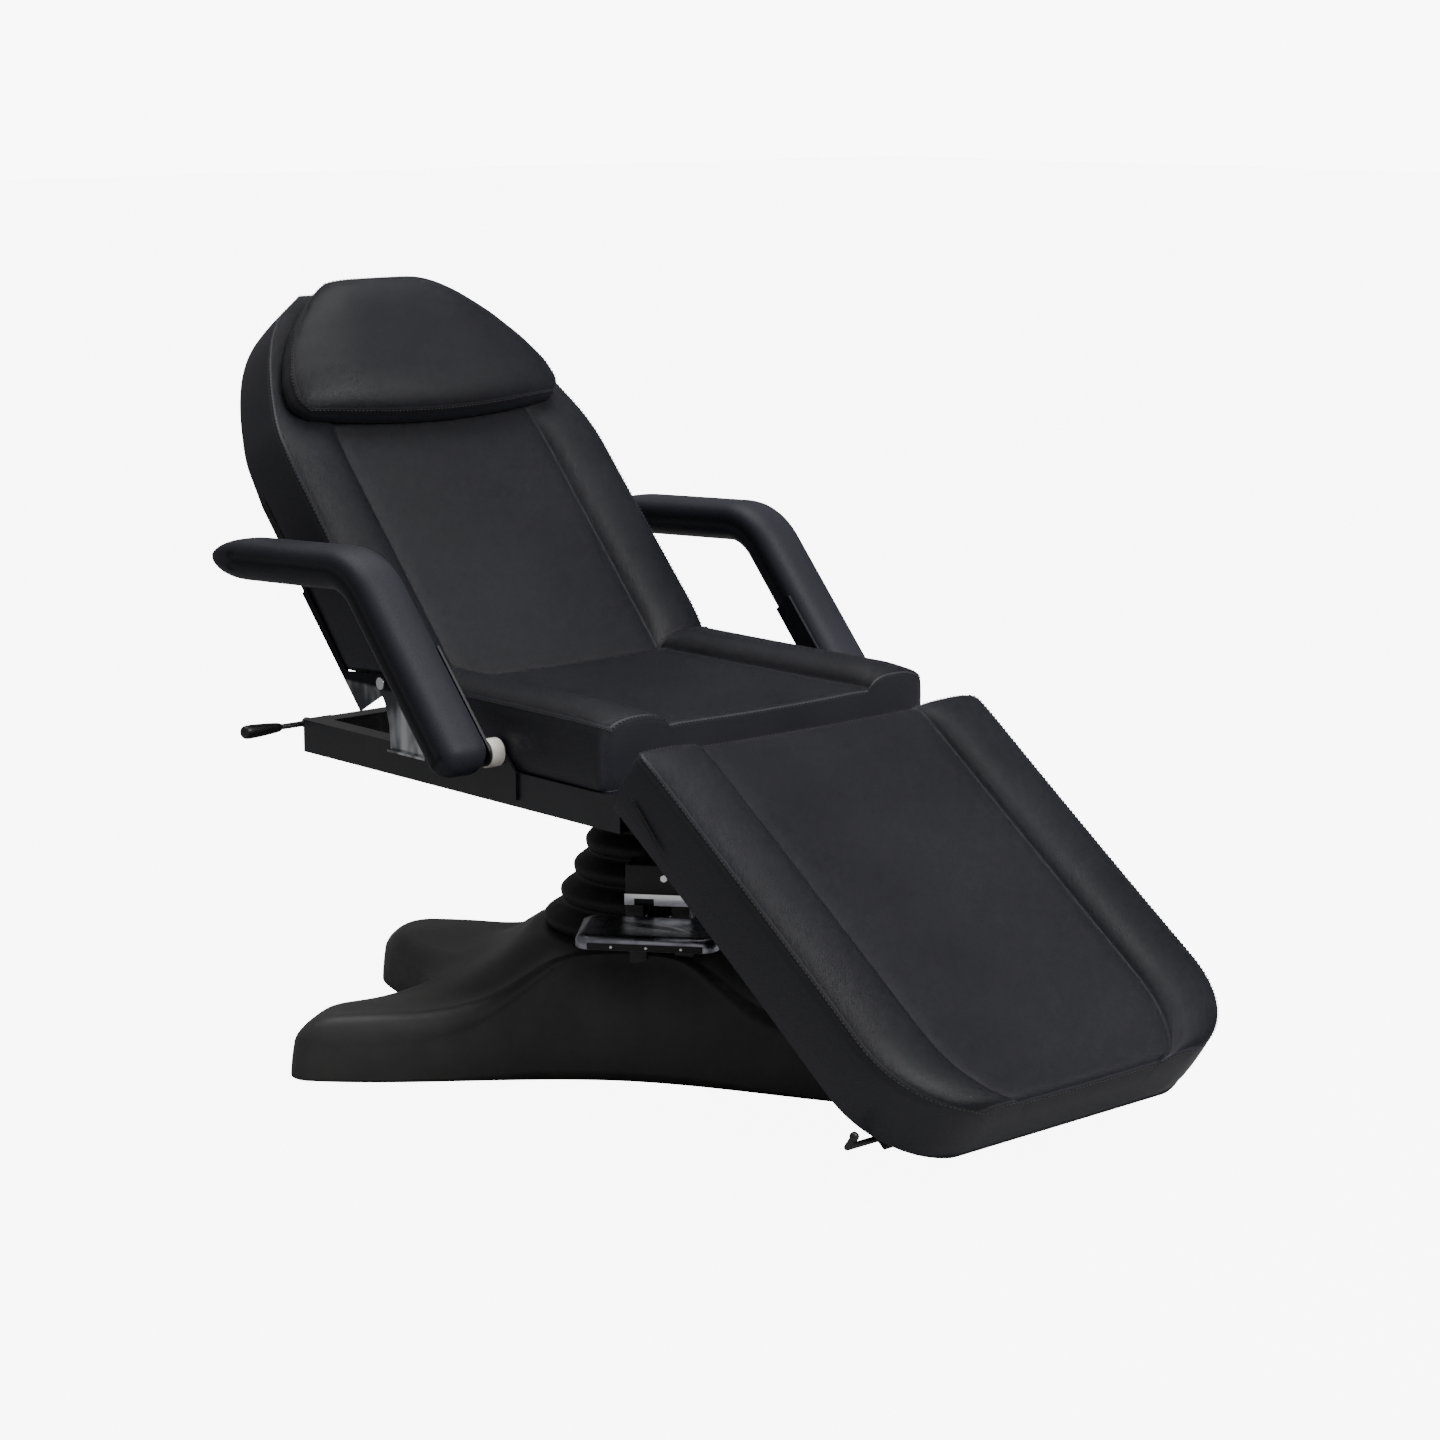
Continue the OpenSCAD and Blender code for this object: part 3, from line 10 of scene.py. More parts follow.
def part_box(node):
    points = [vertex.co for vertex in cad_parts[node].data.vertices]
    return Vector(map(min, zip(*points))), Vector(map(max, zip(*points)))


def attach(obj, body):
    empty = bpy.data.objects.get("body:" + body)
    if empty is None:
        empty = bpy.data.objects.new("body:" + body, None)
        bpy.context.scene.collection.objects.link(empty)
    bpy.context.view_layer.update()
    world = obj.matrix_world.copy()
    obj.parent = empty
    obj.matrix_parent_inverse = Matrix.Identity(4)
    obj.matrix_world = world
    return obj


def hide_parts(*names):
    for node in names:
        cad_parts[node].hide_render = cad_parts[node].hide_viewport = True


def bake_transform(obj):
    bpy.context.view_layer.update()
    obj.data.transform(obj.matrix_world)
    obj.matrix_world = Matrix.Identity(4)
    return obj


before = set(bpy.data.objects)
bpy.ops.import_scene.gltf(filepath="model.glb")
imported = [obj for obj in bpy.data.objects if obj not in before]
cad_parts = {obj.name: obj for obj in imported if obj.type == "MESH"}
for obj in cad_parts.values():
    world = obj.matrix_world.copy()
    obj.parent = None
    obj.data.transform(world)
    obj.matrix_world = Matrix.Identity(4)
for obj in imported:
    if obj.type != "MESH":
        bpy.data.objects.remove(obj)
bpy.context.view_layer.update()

# Places of the table's own frames, in millimetres and degrees
MM = 0.001
BASE_TURN = 39.8
BACK_ANGLE = 48.1
LEG_ANGLE = 36.1
BACK_PIVOT_Y = 214
BACK_PIVOT_UP = 79
BACK_PIVOT_ALONG = -3.5
BACK_PIVOT_DEEP = 12.6
LEG_PIVOT_Y = 269
LEG_PIVOT_DOWN = 14.3
LEG_PIVOT_ALONG = 6
LEG_PIVOT_DEEP = 100

ram_low, ram_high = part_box("ram")
column_y = (ram_low.y + ram_high.y) / 2 / MM
frame_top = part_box("left_rail")[1].z / MM
frame_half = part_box("right_rail")[1].x / MM

at_column = Matrix.Translation((0, column_y, 0))
on_base = at_column @ Matrix.Rotation(math.radians(BASE_TURN), 4, "Z")
on_back = (at_column @ Matrix.Translation((0, BACK_PIVOT_Y, frame_top + BACK_PIVOT_UP))
           @ Matrix.Rotation(math.radians(BACK_ANGLE), 4, "X")
           @ Matrix.Translation((0, -BACK_PIVOT_ALONG, BACK_PIVOT_DEEP)))
on_leg = (at_column @ Matrix.Translation((0, -LEG_PIVOT_Y, frame_top - LEG_PIVOT_DOWN))
          @ Matrix.Rotation(math.radians(LEG_ANGLE), 4, "X")
          @ Matrix.Translation((0, LEG_PIVOT_ALONG, LEG_PIVOT_DEEP))
          @ Matrix.Diagonal((1, -1, 1, 1)))


# Shader sums


class Amount:
    """A socket of a finish that is written in sums like a number."""

    def __init__(self, finish, socket):
        self.finish = finish
        self.socket = socket

    def worked(self, operation, first, second):
        return self.finish.node("ShaderNodeMath", {"operation": operation}, {0: first, 1: second})

    def __add__(self, other):
        return self.worked("ADD", self, other)

    def __radd__(self, other):
        return self.worked("ADD", other, self)

    def __sub__(self, other):
        return self.worked("SUBTRACT", self, other)

    def __rsub__(self, other):
        return self.worked("SUBTRACT", other, self)

    def __mul__(self, other):
        return self.worked("MULTIPLY", self, other)

    def __rmul__(self, other):
        return self.worked("MULTIPLY", other, self)


class Finish:
    """A material built from nodes on the piece's own Object coordinates."""

    def __init__(self, name, fixed):
        self.material = bpy.data.materials.new(name)
        self.material.use_nodes = True
        self.tree = self.material.node_tree
        self.shader = self.tree.nodes["Principled BSDF"]
        for socket, value in fixed.items():
            self.shader.inputs[socket].default_value = value
        self.place = self.node("ShaderNodeTexCoord", {}, {}, "Object")

    def node(self, kind, settings, sockets, output=0):
        """Any node: its settings first, then the values or links of its sockets."""
        made = self.tree.nodes.new(kind)
        for setting, value in settings.items():
            setattr(made, setting, value)
        for socket, value in sockets.items():
            if isinstance(value, Amount):
                self.tree.links.new(value.socket, made.inputs[socket])
            else:
                made.inputs[socket].default_value = value
        return Amount(self, made.outputs[output])

    def stretched(self, scale):
        return self.node("ShaderNodeMapping", {}, {"Vector": self.place, "Scale": scale})

    def noise(self, scale, detail=3, roughness=0.5, place=None):
        return self.node("ShaderNodeTexNoise", {},
                         {"Vector": place or self.place, "Scale": scale, "Detail": detail,
                          "Roughness": roughness})

    def cells(self, scale):
        return self.node("ShaderNodeTexVoronoi", {}, {"Vector": self.place, "Scale": scale}, "Distance")

    def height(self):
        """Height of a point of the piece, in metres."""
        return self.node("ShaderNodeSeparateXYZ", {}, {"Vector": self.place}, "Z")

    def ribs(self, direction):
        """Fine even ribs across a direction, such as the threads of a cloth."""
        return self.node("ShaderNodeTexWave", {"bands_direction": direction},
                         {"Vector": self.place, "Scale": THREAD_SCALE, "Distortion": 0.6, "Detail": 2}, "Fac")

    def ranged(self, value, low, high, to_low=0.0, to_high=1.0):
        return self.node("ShaderNodeMapRange", {"interpolation_type": "SMOOTHSTEP"},
                         {"Value": value, "From Min": low, "From Max": high, "To Min": to_low,
                          "To Max": to_high})

    def mark(self, name):
        """A number painted on the mesh, such as how close a seam is."""
        return self.node("ShaderNodeAttribute", {"attribute_name": name}, {}, "Fac")

    def tint(self, share, first, second):
        return self.node("ShaderNodeMix", {"data_type": "RGBA"}, {0: share, 6: first, 7: second}, 2)

    def bump(self, height, strength, distance, under=None):
        sockets = {"Height": height, "Strength": strength, "Distance": distance}
        if under:
            sockets["Normal"] = under
        return self.node("ShaderNodeBump", {}, sockets, "Normal")

    def feed(self, socket, value):
        self.tree.links.new(value.socket, self.shader.inputs[socket])


def grey(level, blue_share=0.0):
    return (level, level, level * (1 + blue_share), 1.0)


# Finishes: scales are in waves to a metre, depths and heights in metres

HIDE_CELLS = 620
HIDE_FOLDS = 55
HIDE_PATCHES = 5
HIDE_GRAIN_DEEP = 0.00022
SEAM_DEEP = 0.0008
COVER_GRAIN_DEEP = 0.00018
COVER_DUST_HIGH = 0.06
RUBBER_GRAIN_DEEP = 0.00025
PAINT_PEEL_DEEP = 0.0002
POLISH_DEEP = 0.00012
FIN_WAVE_DEEP = 0.0006
# Heights in metres where painted shade on the hinge fins begins and where it is full
FIN_SHADE_LOW = 0.494
FIN_SHADE_FULL = 0.5
DRAWN_DEEP = 0.0001
NYLON_CLOUD_DEEP = 0.0002
THREAD_SCALE = 330
WEAVE_DEEP = 0.0003
GRIP_WAVE_DEEP = 0.0002
TWIST_DEEP = 0.0002


def synthetic_leather(name, smoothness):
    """Black upholstery: pebbled grain, faint stretch patches, duller in the seams, with painted shade
    darkening the seam grooves.
    """
    finish = Finish(name, {"Specular IOR Level": smoothness, "IOR": 1.46})
    pebbles = finish.cells(HIDE_CELLS)
    folds = finish.noise(HIDE_FOLDS, 4, 0.6)
    patches = finish.noise(HIDE_PATCHES, 3)
    seam = finish.mark("seam")
    worn = finish.ranged(patches, 0.35, 0.7)
    face = finish.tint(worn, grey(0.0192, 0.42), grey(0.0255, 0.4))
    grained = finish.tint(finish.ranged(pebbles, 0.1, 0.75) * 0.35, face, grey(0.009, 0.1))
    # painted shade: the seam mark darkens the colour towards the seam grooves
    finish.feed("Base Color", finish.tint(seam * 0.7, grained, grey(0.004)))
    finish.feed("Roughness", 0.45 + worn * 0.07 + pebbles * 0.06 + seam * 0.2)
    grain = finish.bump(pebbles + folds * 0.35, 0.45, HIDE_GRAIN_DEEP)
    finish.feed("Normal", finish.bump(1 - seam, 0.6, SEAM_DEEP, grain))
    return finish.material


def moulded_plastic():
    """The base cover: deep black, finely spark-eroded, with scuffs and dust low down."""
    finish = Finish("moulded cover plastic", {"Specular IOR Level": 0.45, "IOR": 1.5})
    speckle = finish.noise(900, 2, 0.7)
    waves = finish.noise(16, 3)
    scuffs = finish.ranged(finish.noise(70, 5, 0.72), 0.62, 0.74)
    low_down = finish.ranged(finish.height(), 0.0, COVER_DUST_HIGH, 1.0, 0.0)
    dust = low_down * finish.ranged(finish.noise(30, 4), 0.4, 0.7)
    skin = finish.tint(finish.ranged(waves, 0.3, 0.7), grey(0.028), grey(0.038))
    scuffed = finish.tint(scuffs * 0.25, skin, grey(0.03))
    finish.feed("Base Color", finish.tint(dust * 0.22, scuffed, (0.07, 0.065, 0.058, 1.0)))
    finish.feed("Roughness", 0.42 + speckle * 0.12 + scuffs * 0.12 + dust * 0.2)
    finish.feed("Normal", finish.bump(speckle + waves * 0.4, 0.35, COVER_GRAIN_DEEP))
    return finish.material


def rubber(name, level):
    """Rubber boot, feet and strip: matt, faintly mottled, with a bloom of dust on it."""
    finish = Finish(name, {"Specular IOR Level": 0.35, "IOR": 1.5})
    mottle = finish.noise(40, 5, 0.65)
    grain = finish.noise(700, 2, 0.6)
    bloom = finish.ranged(mottle, 0.5, 0.75)
    finish.feed("Base Color", finish.tint(bloom * 0.4, grey(level), grey(level * 2.4)))
    finish.feed("Roughness", 0.5 + bloom * 0.16 + grain * 0.1)
    finish.feed("Normal", finish.bump(grain + mottle * 0.5, 0.4, RUBBER_GRAIN_DEEP))
    return finish.material


def painted_steel():
    """Frame paint: satin blue-black powder coat with orange peel and rubbed spots."""
    finish = Finish("black painted steel", {"Specular IOR Level": 0.5, "IOR": 1.5})
    peel = finish.noise(260, 2, 0.5)
    broad = finish.noise(9, 3)
    rubbed = finish.ranged(finish.noise(110, 5, 0.75), 0.66, 0.78)
    finish.feed("Base Color", finish.tint(rubbed * 0.3, grey(0.0045, 0.9), grey(0.026, 0.2)))
    finish.feed("Roughness", 0.36 + finish.ranged(broad, 0.3, 0.7) * 0.1 + rubbed * 0.15)
    finish.feed("Coat Weight", 0.1 - rubbed * 0.08)
    finish.feed("Normal", finish.bump(peel, 0.22, PAINT_PEEL_DEEP))
    return finish.material


def chromed_steel():
    """Bright chrome with faint polishing lines, smears and a few pits."""
    finish = Finish("chromed steel", {"Metallic": 1.0})
    lines = finish.noise(1, 3, 0.7, finish.stretched((30, 900, 900)))
    smears = finish.ranged(finish.noise(18, 4, 0.65), 0.42, 0.72)
    pits = finish.ranged(finish.cells(420), 0.0, 0.1, 1.0, 0.0)
    finish.feed("Base Color", finish.tint(smears * 0.35, (0.80, 0.81, 0.83, 1.0), (0.64, 0.65, 0.67, 1.0)))
    finish.feed("Roughness", 0.07 + smears * 0.13 + lines * 0.05 + pits * 0.1)
    finish.feed("Normal", finish.bump(lines - pits * 0.6, 0.12, POLISH_DEEP))
    return finish.material


def satin_steel():
    """The pedal's tread: brushed plate, dulled where shoes rub it, with dark smears."""
    finish = Finish("satin pressed steel", {"Metallic": 1.0})
    brushed = finish.noise(1, 4, 0.7, finish.stretched((40, 1300, 1300)))
    rubbed = finish.ranged(finish.noise(22, 4, 0.6), 0.4, 0.7)
    finish.feed("Base Color", finish.tint(rubbed, (0.32, 0.32, 0.36, 1.0), (0.21, 0.21, 0.24, 1.0)))
    finish.feed("Roughness", 0.24 + rubbed * 0.12 + brushed * 0.08)
    finish.feed("Normal", finish.bump(brushed, 0.2, POLISH_DEEP))
    return finish.material


def hinge_chrome():
    """The hinge fins: chrome with a painted reflection of a dark room in soft bands, and painted shade above
    the hinge, where the strip runs up behind the cushion.
    """
    finish = Finish("hinge chrome", {"Metallic": 1.0})
    bands = finish.noise(1, 2, 0.5, finish.stretched((6, 26, 9)))
    lines = finish.noise(1, 3, 0.7, finish.stretched((30, 900, 900)))
    # painted reflection: the base colour darkens in soft bands, as if a dark room were mirrored in the chrome
    dark = finish.ranged(bands, 0.36, 0.62)
    # painted shade: from this height up, the fins are darkened as shade behind the cushion
    painted_shade = finish.ranged(finish.height(), FIN_SHADE_LOW, FIN_SHADE_FULL)
    plated = finish.tint(dark, (0.62, 0.63, 0.66, 1.0), (0.075, 0.078, 0.09, 1.0))
    finish.feed("Base Color", finish.tint(painted_shade, plated, grey(0.012, 0.3)))
    finish.feed("Roughness", 0.16 + lines * 0.08 + dark * 0.06 + painted_shade * 0.25)
    finish.feed("Normal", finish.bump(bands * 6 + lines, 0.2, FIN_WAVE_DEEP))
    return finish.material


def plated_steel():
    """Zinc-plated bolts, pins and nuts: grey, drawn and a little dull."""
    finish = Finish("plated steel", {"Metallic": 1.0})
    drawn = finish.noise(1, 4, 0.7, finish.stretched((1400, 1400, 60)))
    spangle = finish.cells(240)
    finish.feed("Base Color", finish.tint(spangle, (0.50, 0.51, 0.53, 1.0), (0.36, 0.36, 0.37, 1.0)))
    finish.feed("Roughness", 0.28 + drawn * 0.16)
    finish.feed("Normal", finish.bump(drawn + spangle * 0.3, 0.2, DRAWN_DEEP))
    return finish.material


def nylon():
    """The thrust washer and pivot discs: milky plastic, greased where they run."""
    finish = Finish("nylon", {"Specular IOR Level": 0.5, "IOR": 1.53})
    cloud = finish.noise(60, 3)
    grease = finish.ranged(finish.noise(35, 4, 0.7), 0.5, 0.68)
    finish.feed("Base Color", finish.tint(grease * 0.6, (0.74, 0.71, 0.64, 1.0), (0.34, 0.29, 0.20, 1.0)))
    finish.feed("Roughness", 0.45 - grease * 0.2 + cloud * 0.08)
    finish.feed("Normal", finish.bump(cloud, 0.15, NYLON_CLOUD_DEEP))
    return finish.material


def board_cloth():
    """The black lining cloth stapled over the undersides of the boards: a plain close weave."""
    finish = Finish("black lining cloth", {"Specular IOR Level": 0.2, "Sheen Weight": 0.12})
    lint = finish.ranged(finish.noise(240, 5, 0.8), 0.62, 0.75)
    weave = finish.ribs("X") * finish.ribs("Y")
    cloth = finish.tint(weave, grey(0.006), grey(0.016))
    finish.feed("Base Color", finish.tint(lint * 0.3, cloth, grey(0.06)))
    finish.feed("Roughness", 0.78 + weave * 0.12)
    finish.feed("Normal", finish.bump(weave, 0.5, WEAVE_DEEP))
    return finish.material


def grip_plastic():
    """Grip and knob: dipped black plastic, smooth with a soft shine and hair scratches."""
    finish = Finish("black grip plastic", {"Specular IOR Level": 0.5, "IOR": 1.5})
    scratches = finish.ranged(finish.noise(1, 4, 0.8, finish.stretched((60, 900, 900))), 0.6, 0.7)
    cloud = finish.noise(50, 3)
    finish.feed("Base Color", finish.tint(cloud * 0.5, grey(0.010), grey(0.018)))
    finish.feed("Roughness", 0.3 + cloud * 0.12 + scratches * 0.18)
    finish.feed("Normal", finish.bump(cloud - scratches * 0.3, 0.25, GRIP_WAVE_DEEP))
    return finish.material


def sewing_thread():
    """Bonded black thread: twisted strands, a little lighter than the leather."""
    finish = Finish("black sewing thread", {"Specular IOR Level": 0.4, "Sheen Weight": 0.1})
    twist = finish.noise(1500, 2, 0.6)
    finish.feed("Base Color", finish.tint(twist, grey(0.014), grey(0.036)))
    finish.feed("Roughness", 0.5 + twist * 0.2)
    finish.feed("Normal", finish.bump(twist, 0.5, TWIST_DEEP))
    return finish.material


leather_finish = synthetic_leather("black synthetic leather", 0.42)
sleeve_finish = synthetic_leather("black sleeve leather", 0.2)
cover_finish = moulded_plastic()
boot_finish = rubber("bellows rubber", 0.0095)
rubber_finish = rubber("foot rubber", 0.013)
paint_finish = painted_steel()
chrome_finish = chromed_steel()
tread_finish = satin_steel()
fin_finish = hinge_chrome()
plated_finish = plated_steel()
nylon_finish = nylon()
lining_finish = board_cloth()
grip_finish = grip_plastic()
thread_finish = sewing_thread()

# Finish of each CAD node that stays in view
node_finishes = {
    paint_finish: ["base_frame", "cylinder_tube", "pedal_arm", "swivel_plate", "swivel_beams",
                   "left_rail", "right_rail", "rear_cross_tube", "front_cross_tube",
                   "strut_cross_tube", "back_strut_bracket", "leg_strut_bracket", "left_arm_bracket",
                   "right_arm_bracket", "recline_pivot", "back_clevis", "left_leg_arm",
                   "right_leg_arm", "leg_clevis", "left_arm_plate", "right_arm_plate",
                   "back_strut_cylinder", "leg_strut_cylinder"],
    chrome_finish: ["pedal_bracket", "ram", "hinge_bolts", "back_strut_rod", "leg_strut_rod",
                    "pump_plunger", "pump_bolts"],
    fin_finish: ["left_hinge_bracket", "right_hinge_bracket", "left_hinge_plate", "right_hinge_plate"],
    plated_finish: ["cylinder_gland", "column_bolts", "pedal_pin", "swivel_nut", "leg_hinge_shaft",
                    "recline_rod"],
    nylon_finish: ["thrust_washer", "arm_pivot_discs"],
    lining_finish: ["seat_board", "back_board", "leg_board"],
    rubber_finish: ["levelling_feet"],
    grip_finish: ["leg_release"],
}
for finish, nodes in node_finishes.items():
    for node in nodes:
        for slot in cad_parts[node].material_slots:
            slot.material = finish


# Making pieces


def piece(name, bm, place, body, finish):
    """A finished piece from a bmesh in millimetres, put in its place and on its body."""
    bmesh.ops.transform(bm, matrix=Matrix.Scale(MM, 4) @ place, verts=bm.verts)
    bmesh.ops.recalc_face_normals(bm, faces=bm.faces)
    mesh = bpy.data.meshes.new(name)
    bm.to_mesh(mesh)
    bm.free()
    mesh.shade_smooth()
    mesh.materials.append(finish)
    made = bpy.data.objects.new(name, mesh)
    bpy.context.scene.collection.objects.link(made)
    if body:
        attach(made, body)
    return made


def smoothed(made):
    """Subdivides a piece once more."""
    finer = made.modifiers.new("finer", "SUBSURF")
    finer.levels = 1
    finer.render_levels = 1


MERGE = 0.02


def wrap(columns, rows, point_at):
    """A grid laid over a surface, with meeting edges and poles merged."""
    bm = bmesh.new()
    bmesh.ops.create_grid(bm, x_segments=columns, y_segments=rows, size=1)
    for vert in bm.verts:
        column = round((vert.co.x + 1) / 2 * columns)
        row = round((vert.co.y + 1) / 2 * rows)
        vert.co = point_at(column, row)
    bmesh.ops.remove_doubles(bm, verts=bm.verts, dist=MERGE)
    bmesh.ops.dissolve_degenerate(bm, edges=bm.edges, dist=MERGE)
    return bm


def ease(share):
    """A soft step from 0 to 1, for one number or an array of them."""
    held = np.clip(share, 0, 1)
    return held * held * (3 - 2 * held)


def rounded(share):
    """A quarter circle's rise from 0 to 1."""
    held = min(1, max(0, share))
    return math.sqrt(1 - (1 - held) ** 2)


def from_least(least, share):
    """A rise from a least share to 1."""
    return least + (1 - least) * ease(share)


def corner_in(radius, gap):
    """How far a side's round corner draws in at a gap from the end."""
    past = max(0, radius - gap)
    return radius - math.sqrt(max(0, radius * radius - past * past))


MARK_LEAST = 2.2
MARK_MOST = 12
MARK_REACH = 40


def marks(start, end, close, least=MARK_LEAST, most=MARK_MOST):
    """Places from start to end, least apart at each place in close and most apart far from them."""
    places = [start]
    while places[-1] < end:
        nearest = min(abs(places[-1] - place) for place in close)
        places.append(places[-1] + least + (most - least) * min(1, nearest / MARK_REACH))
    spread = (end - start) / (places[-1] - start)
    return [start + (place - start) * spread for place in places]


# Upholstery

CREASE_SHARE = 0.64
CREASE_DEEP = 1.9
CREASE_HALF = 12
COLUMN_LEAST = 2.4
# Part of the crown lifts the whole face, and the rest bows its middle
CROWN_LIFT_SHARE = 0.4
BOLSTER_POWERS = (2.4, 0.62)
END_LIFT_SHARE = 0.5
END_LIFT_LEN = 55
END_DROP = 12
END_ROUND = 16
BAND_SHARES = [0, 0.03, 0.1, 0.22, 0.38, 0.54, 0.7, 0.82, 0.9, 0.955, 1]
BAND_LOW_SHARE = 0.35
BAND_HIGH_SHARE = 0.6
BAND_TUCK = 4
BAND_TOP_TUCK_SHARE = 0.6
FACE_IN = 2
SIDE_DRAW = 3.5
SIDE_DRAW_POWER = 3
SEAM_IN = 1.3
SEAM_REACH = 4
SEAM_NEXT_SHARE = 0.35
CORNER_R = 20


def powered(value, power):
    """A power that keeps the sign of its number."""
    return math.copysign(abs(value) ** power, value)


def end_drop(gap, drop=END_DROP, reach=END_ROUND):
    """How far a face rounds down at a gap from its end."""
    return -drop * (1 - rounded(gap / reach))


class Cushion:
    """The form of one boxed cushion: outline, band, and a face with bolsters, creases and a crown."""

    def __init__(self, length, half_at, low, seam, bolster, middle, rows, half):
        self.length = length
        self.half_at = half_at
        self.low = low
        self.seam = seam
        self.bolster = bolster
        self.middle = middle
        self.rows = rows
        side = marks(0, half, [half * CREASE_SHARE, half], COLUMN_LEAST)
        self.columns = [-place / half for place in reversed(side[1:])] + [place / half for place in side]
        self.half = half
        self.bend = lambda point: point
        self.hollow = lambda along, share: 0

    def end_gap(self, along):
        return min(along, self.length - along)

    def lift_at(self, along):
        """How much of the bolsters and crown rises at a place."""
        return from_least(END_LIFT_SHARE, self.end_gap(along) / END_LIFT_LEN)

    def end_at(self, across, along):
        return end_drop(self.end_gap(along))

    def face(self, across, along):
        """Height of the face over the seam plane at a share of the half width."""
        away = abs(across)
        rise = self.middle * CROWN_LIFT_SHARE
        if away > CREASE_SHARE:
            middle_share = (1 + CREASE_SHARE) / 2
            off = abs(away - middle_share) / (1 - middle_share)
            rise += self.bolster * max(0, 1 - off ** BOLSTER_POWERS[0]) ** BOLSTER_POWERS[1]
        else:
            rise += self.middle * (1 - CROWN_LIFT_SHARE) * (1 - (away / CREASE_SHARE) ** 2)
        if self.bolster:
            off = (away - CREASE_SHARE) * self.half / CREASE_HALF
            rise -= CREASE_DEEP * math.exp(-off * off)
        return self.seam + rise * self.lift_at(along) + self.end_at(across, along)

    def outline(self):
        """Edge points by column and row, each with the way out of the cushion there."""
        last_column = len(self.columns) - 1
        last_row = len(self.rows) - 1
        order = ([(column, 0) for column in range(last_column)]
                 + [(last_column, row) for row in range(last_row)]
                 + [(column, last_row) for column in range(last_column, 0, -1)]
                 + [(0, row) for row in range(last_row, 0, -1)])
        points = [Vector((self.columns[c] * self.half_at(self.rows[r]), self.rows[r])) for c, r in order]
        edge = {}
        for step, place in enumerate(order):
            ahead = points[(step + 1) % len(order)] - points[step - 1]
            edge[place] = (points[step], Vector((ahead.y, -ahead.x)).normalized())
        return edge

    def drawn_in(self, along):
        """How far the sides pull in between the corners."""
        off = 2 * along / self.length - 1
        return SIDE_DRAW * (1 - off * off)

    def build(self):
        """The form, and the ring of points just inside its seam for the stitches.

        The face below each rise stays in the mesh, so the finished face lies there ten times.
        """
        columns = len(self.columns) - 1
        rows = len(self.rows) - 1
        levels = len(BAND_SHARES) - 1
        bm = bmesh.new()
        seam_mark = bm.verts.layers.float.new("seam")
        bmesh.ops.create_grid(bm, x_segments=columns, y_segments=rows, size=1)
        top = list(bm.faces)
        for level in range(levels):
            grown = bmesh.ops.extrude_face_region(bm, geom=top, use_keep_orig=(level == 0))["geom"]
            top = [item for item in grown if isinstance(item, bmesh.types.BMFace)]
            risen = [item for item in grown if isinstance(item, bmesh.types.BMVert)]
            bmesh.ops.translate(bm, vec=(0, 0, 1), verts=risen)
        edge = self.outline()
        ring = {}
        for vert in bm.verts:
            column = round((vert.co.x + 1) / 2 * columns)
            row = round((vert.co.y + 1) / 2 * rows)
            level = round(vert.co.z)
            across = self.columns[column]
            along = self.rows[row]
            inward = min(column, columns - column, row, rows - row)
            if inward == 0:
                spot, out = edge[(column, row)]
                high = self.face(across, along)
                share = BAND_SHARES[level]
                low_share = max(0, 1 - share / BAND_LOW_SHARE)
                high_share = max(0, (share - BAND_HIGH_SHARE) / (1 - BAND_HIGH_SHARE))
                tuck = BAND_TUCK * (low_share ** 2 + BAND_TOP_TUCK_SHARE * high_share ** 2)
                if level == levels:
                    tuck += SEAM_IN
                tuck += self.hollow(along, share)
                vert.co = Vector((*(spot - out * tuck), self.low + (high - self.low) * share))
                below = (1 - share) * (high - self.low)
                vert[seam_mark] = math.exp(-(below / SEAM_REACH) ** 2)
            else:
                width = self.half_at(along) - FACE_IN
                vert.co = Vector((across * width, along, self.face(across, along) if level else self.low))
                if level:
                    vert[seam_mark] = SEAM_NEXT_SHARE if inward == 1 else 0.0
            vert.co.x -= powered(across, SIDE_DRAW_POWER) * self.drawn_in(along)
            vert.co = self.bend(vert.co)
            if inward == 1 and level == levels:
                ring[(column, row)] = vert
        loop = ([ring[(column, 1)] for column in range(1, columns - 1)]
                + [ring[(columns - 1, row)] for row in range(1, rows - 1)]
                + [ring[(column, rows - 1)] for column in range(columns - 1, 1, -1)]
                + [ring[(1, row)] for row in range(rows - 1, 1, -1)])
        bm.verts.index_update()
        return bm, [vert.index for vert in loop]


STITCH_PITCH = 6.2
STITCH_LEN = 4.2
STITCH_R = 0.62
STITCH_OUT = 0.25


def stitched(name, made, loop, body):
    """A row of stitches along a ring of the cushion's own points."""
    mesh = made.data
    normals = [mesh.vertices[index].normal.copy() for index in loop]
    points = [mesh.vertices[index].co / MM for index in loop]
    bm = bmesh.new()
    carried = 0.0
    for step, start in enumerate(points):
        end = points[(step + 1) % len(points)]
        span = (end - start).length
        while span and carried < span:
            share = carried / span
            up = normals[step].lerp(normals[(step + 1) % len(points)], share).normalized()
            along = (end - start).normalized()
            side = along.cross(up).normalized()
            turn = Matrix((along, side, up)).transposed().to_4x4()
            spot = start.lerp(end, share) + up * STITCH_OUT
            shape = Matrix.Diagonal((STITCH_LEN / 2, STITCH_R, STITCH_R, 1))
            bmesh.ops.create_uvsphere(bm, u_segments=6, v_segments=4, radius=1,
                                      matrix=Matrix.Translation(spot) @ turn @ shape)
            carried += STITCH_PITCH
        carried -= span
    return piece(name, bm, Matrix.Identity(4), body, thread_finish)


def upholstered(name, cushion, place, body, node):
    """A cushion with its stitches, in the place of its CAD node."""
    bm, loop = cushion.build()
    made = piece(name, bm, place, body, leather_finish)
    stitched(name + "_stitches", made, loop, body)
    smoothed(made)
    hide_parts(node)


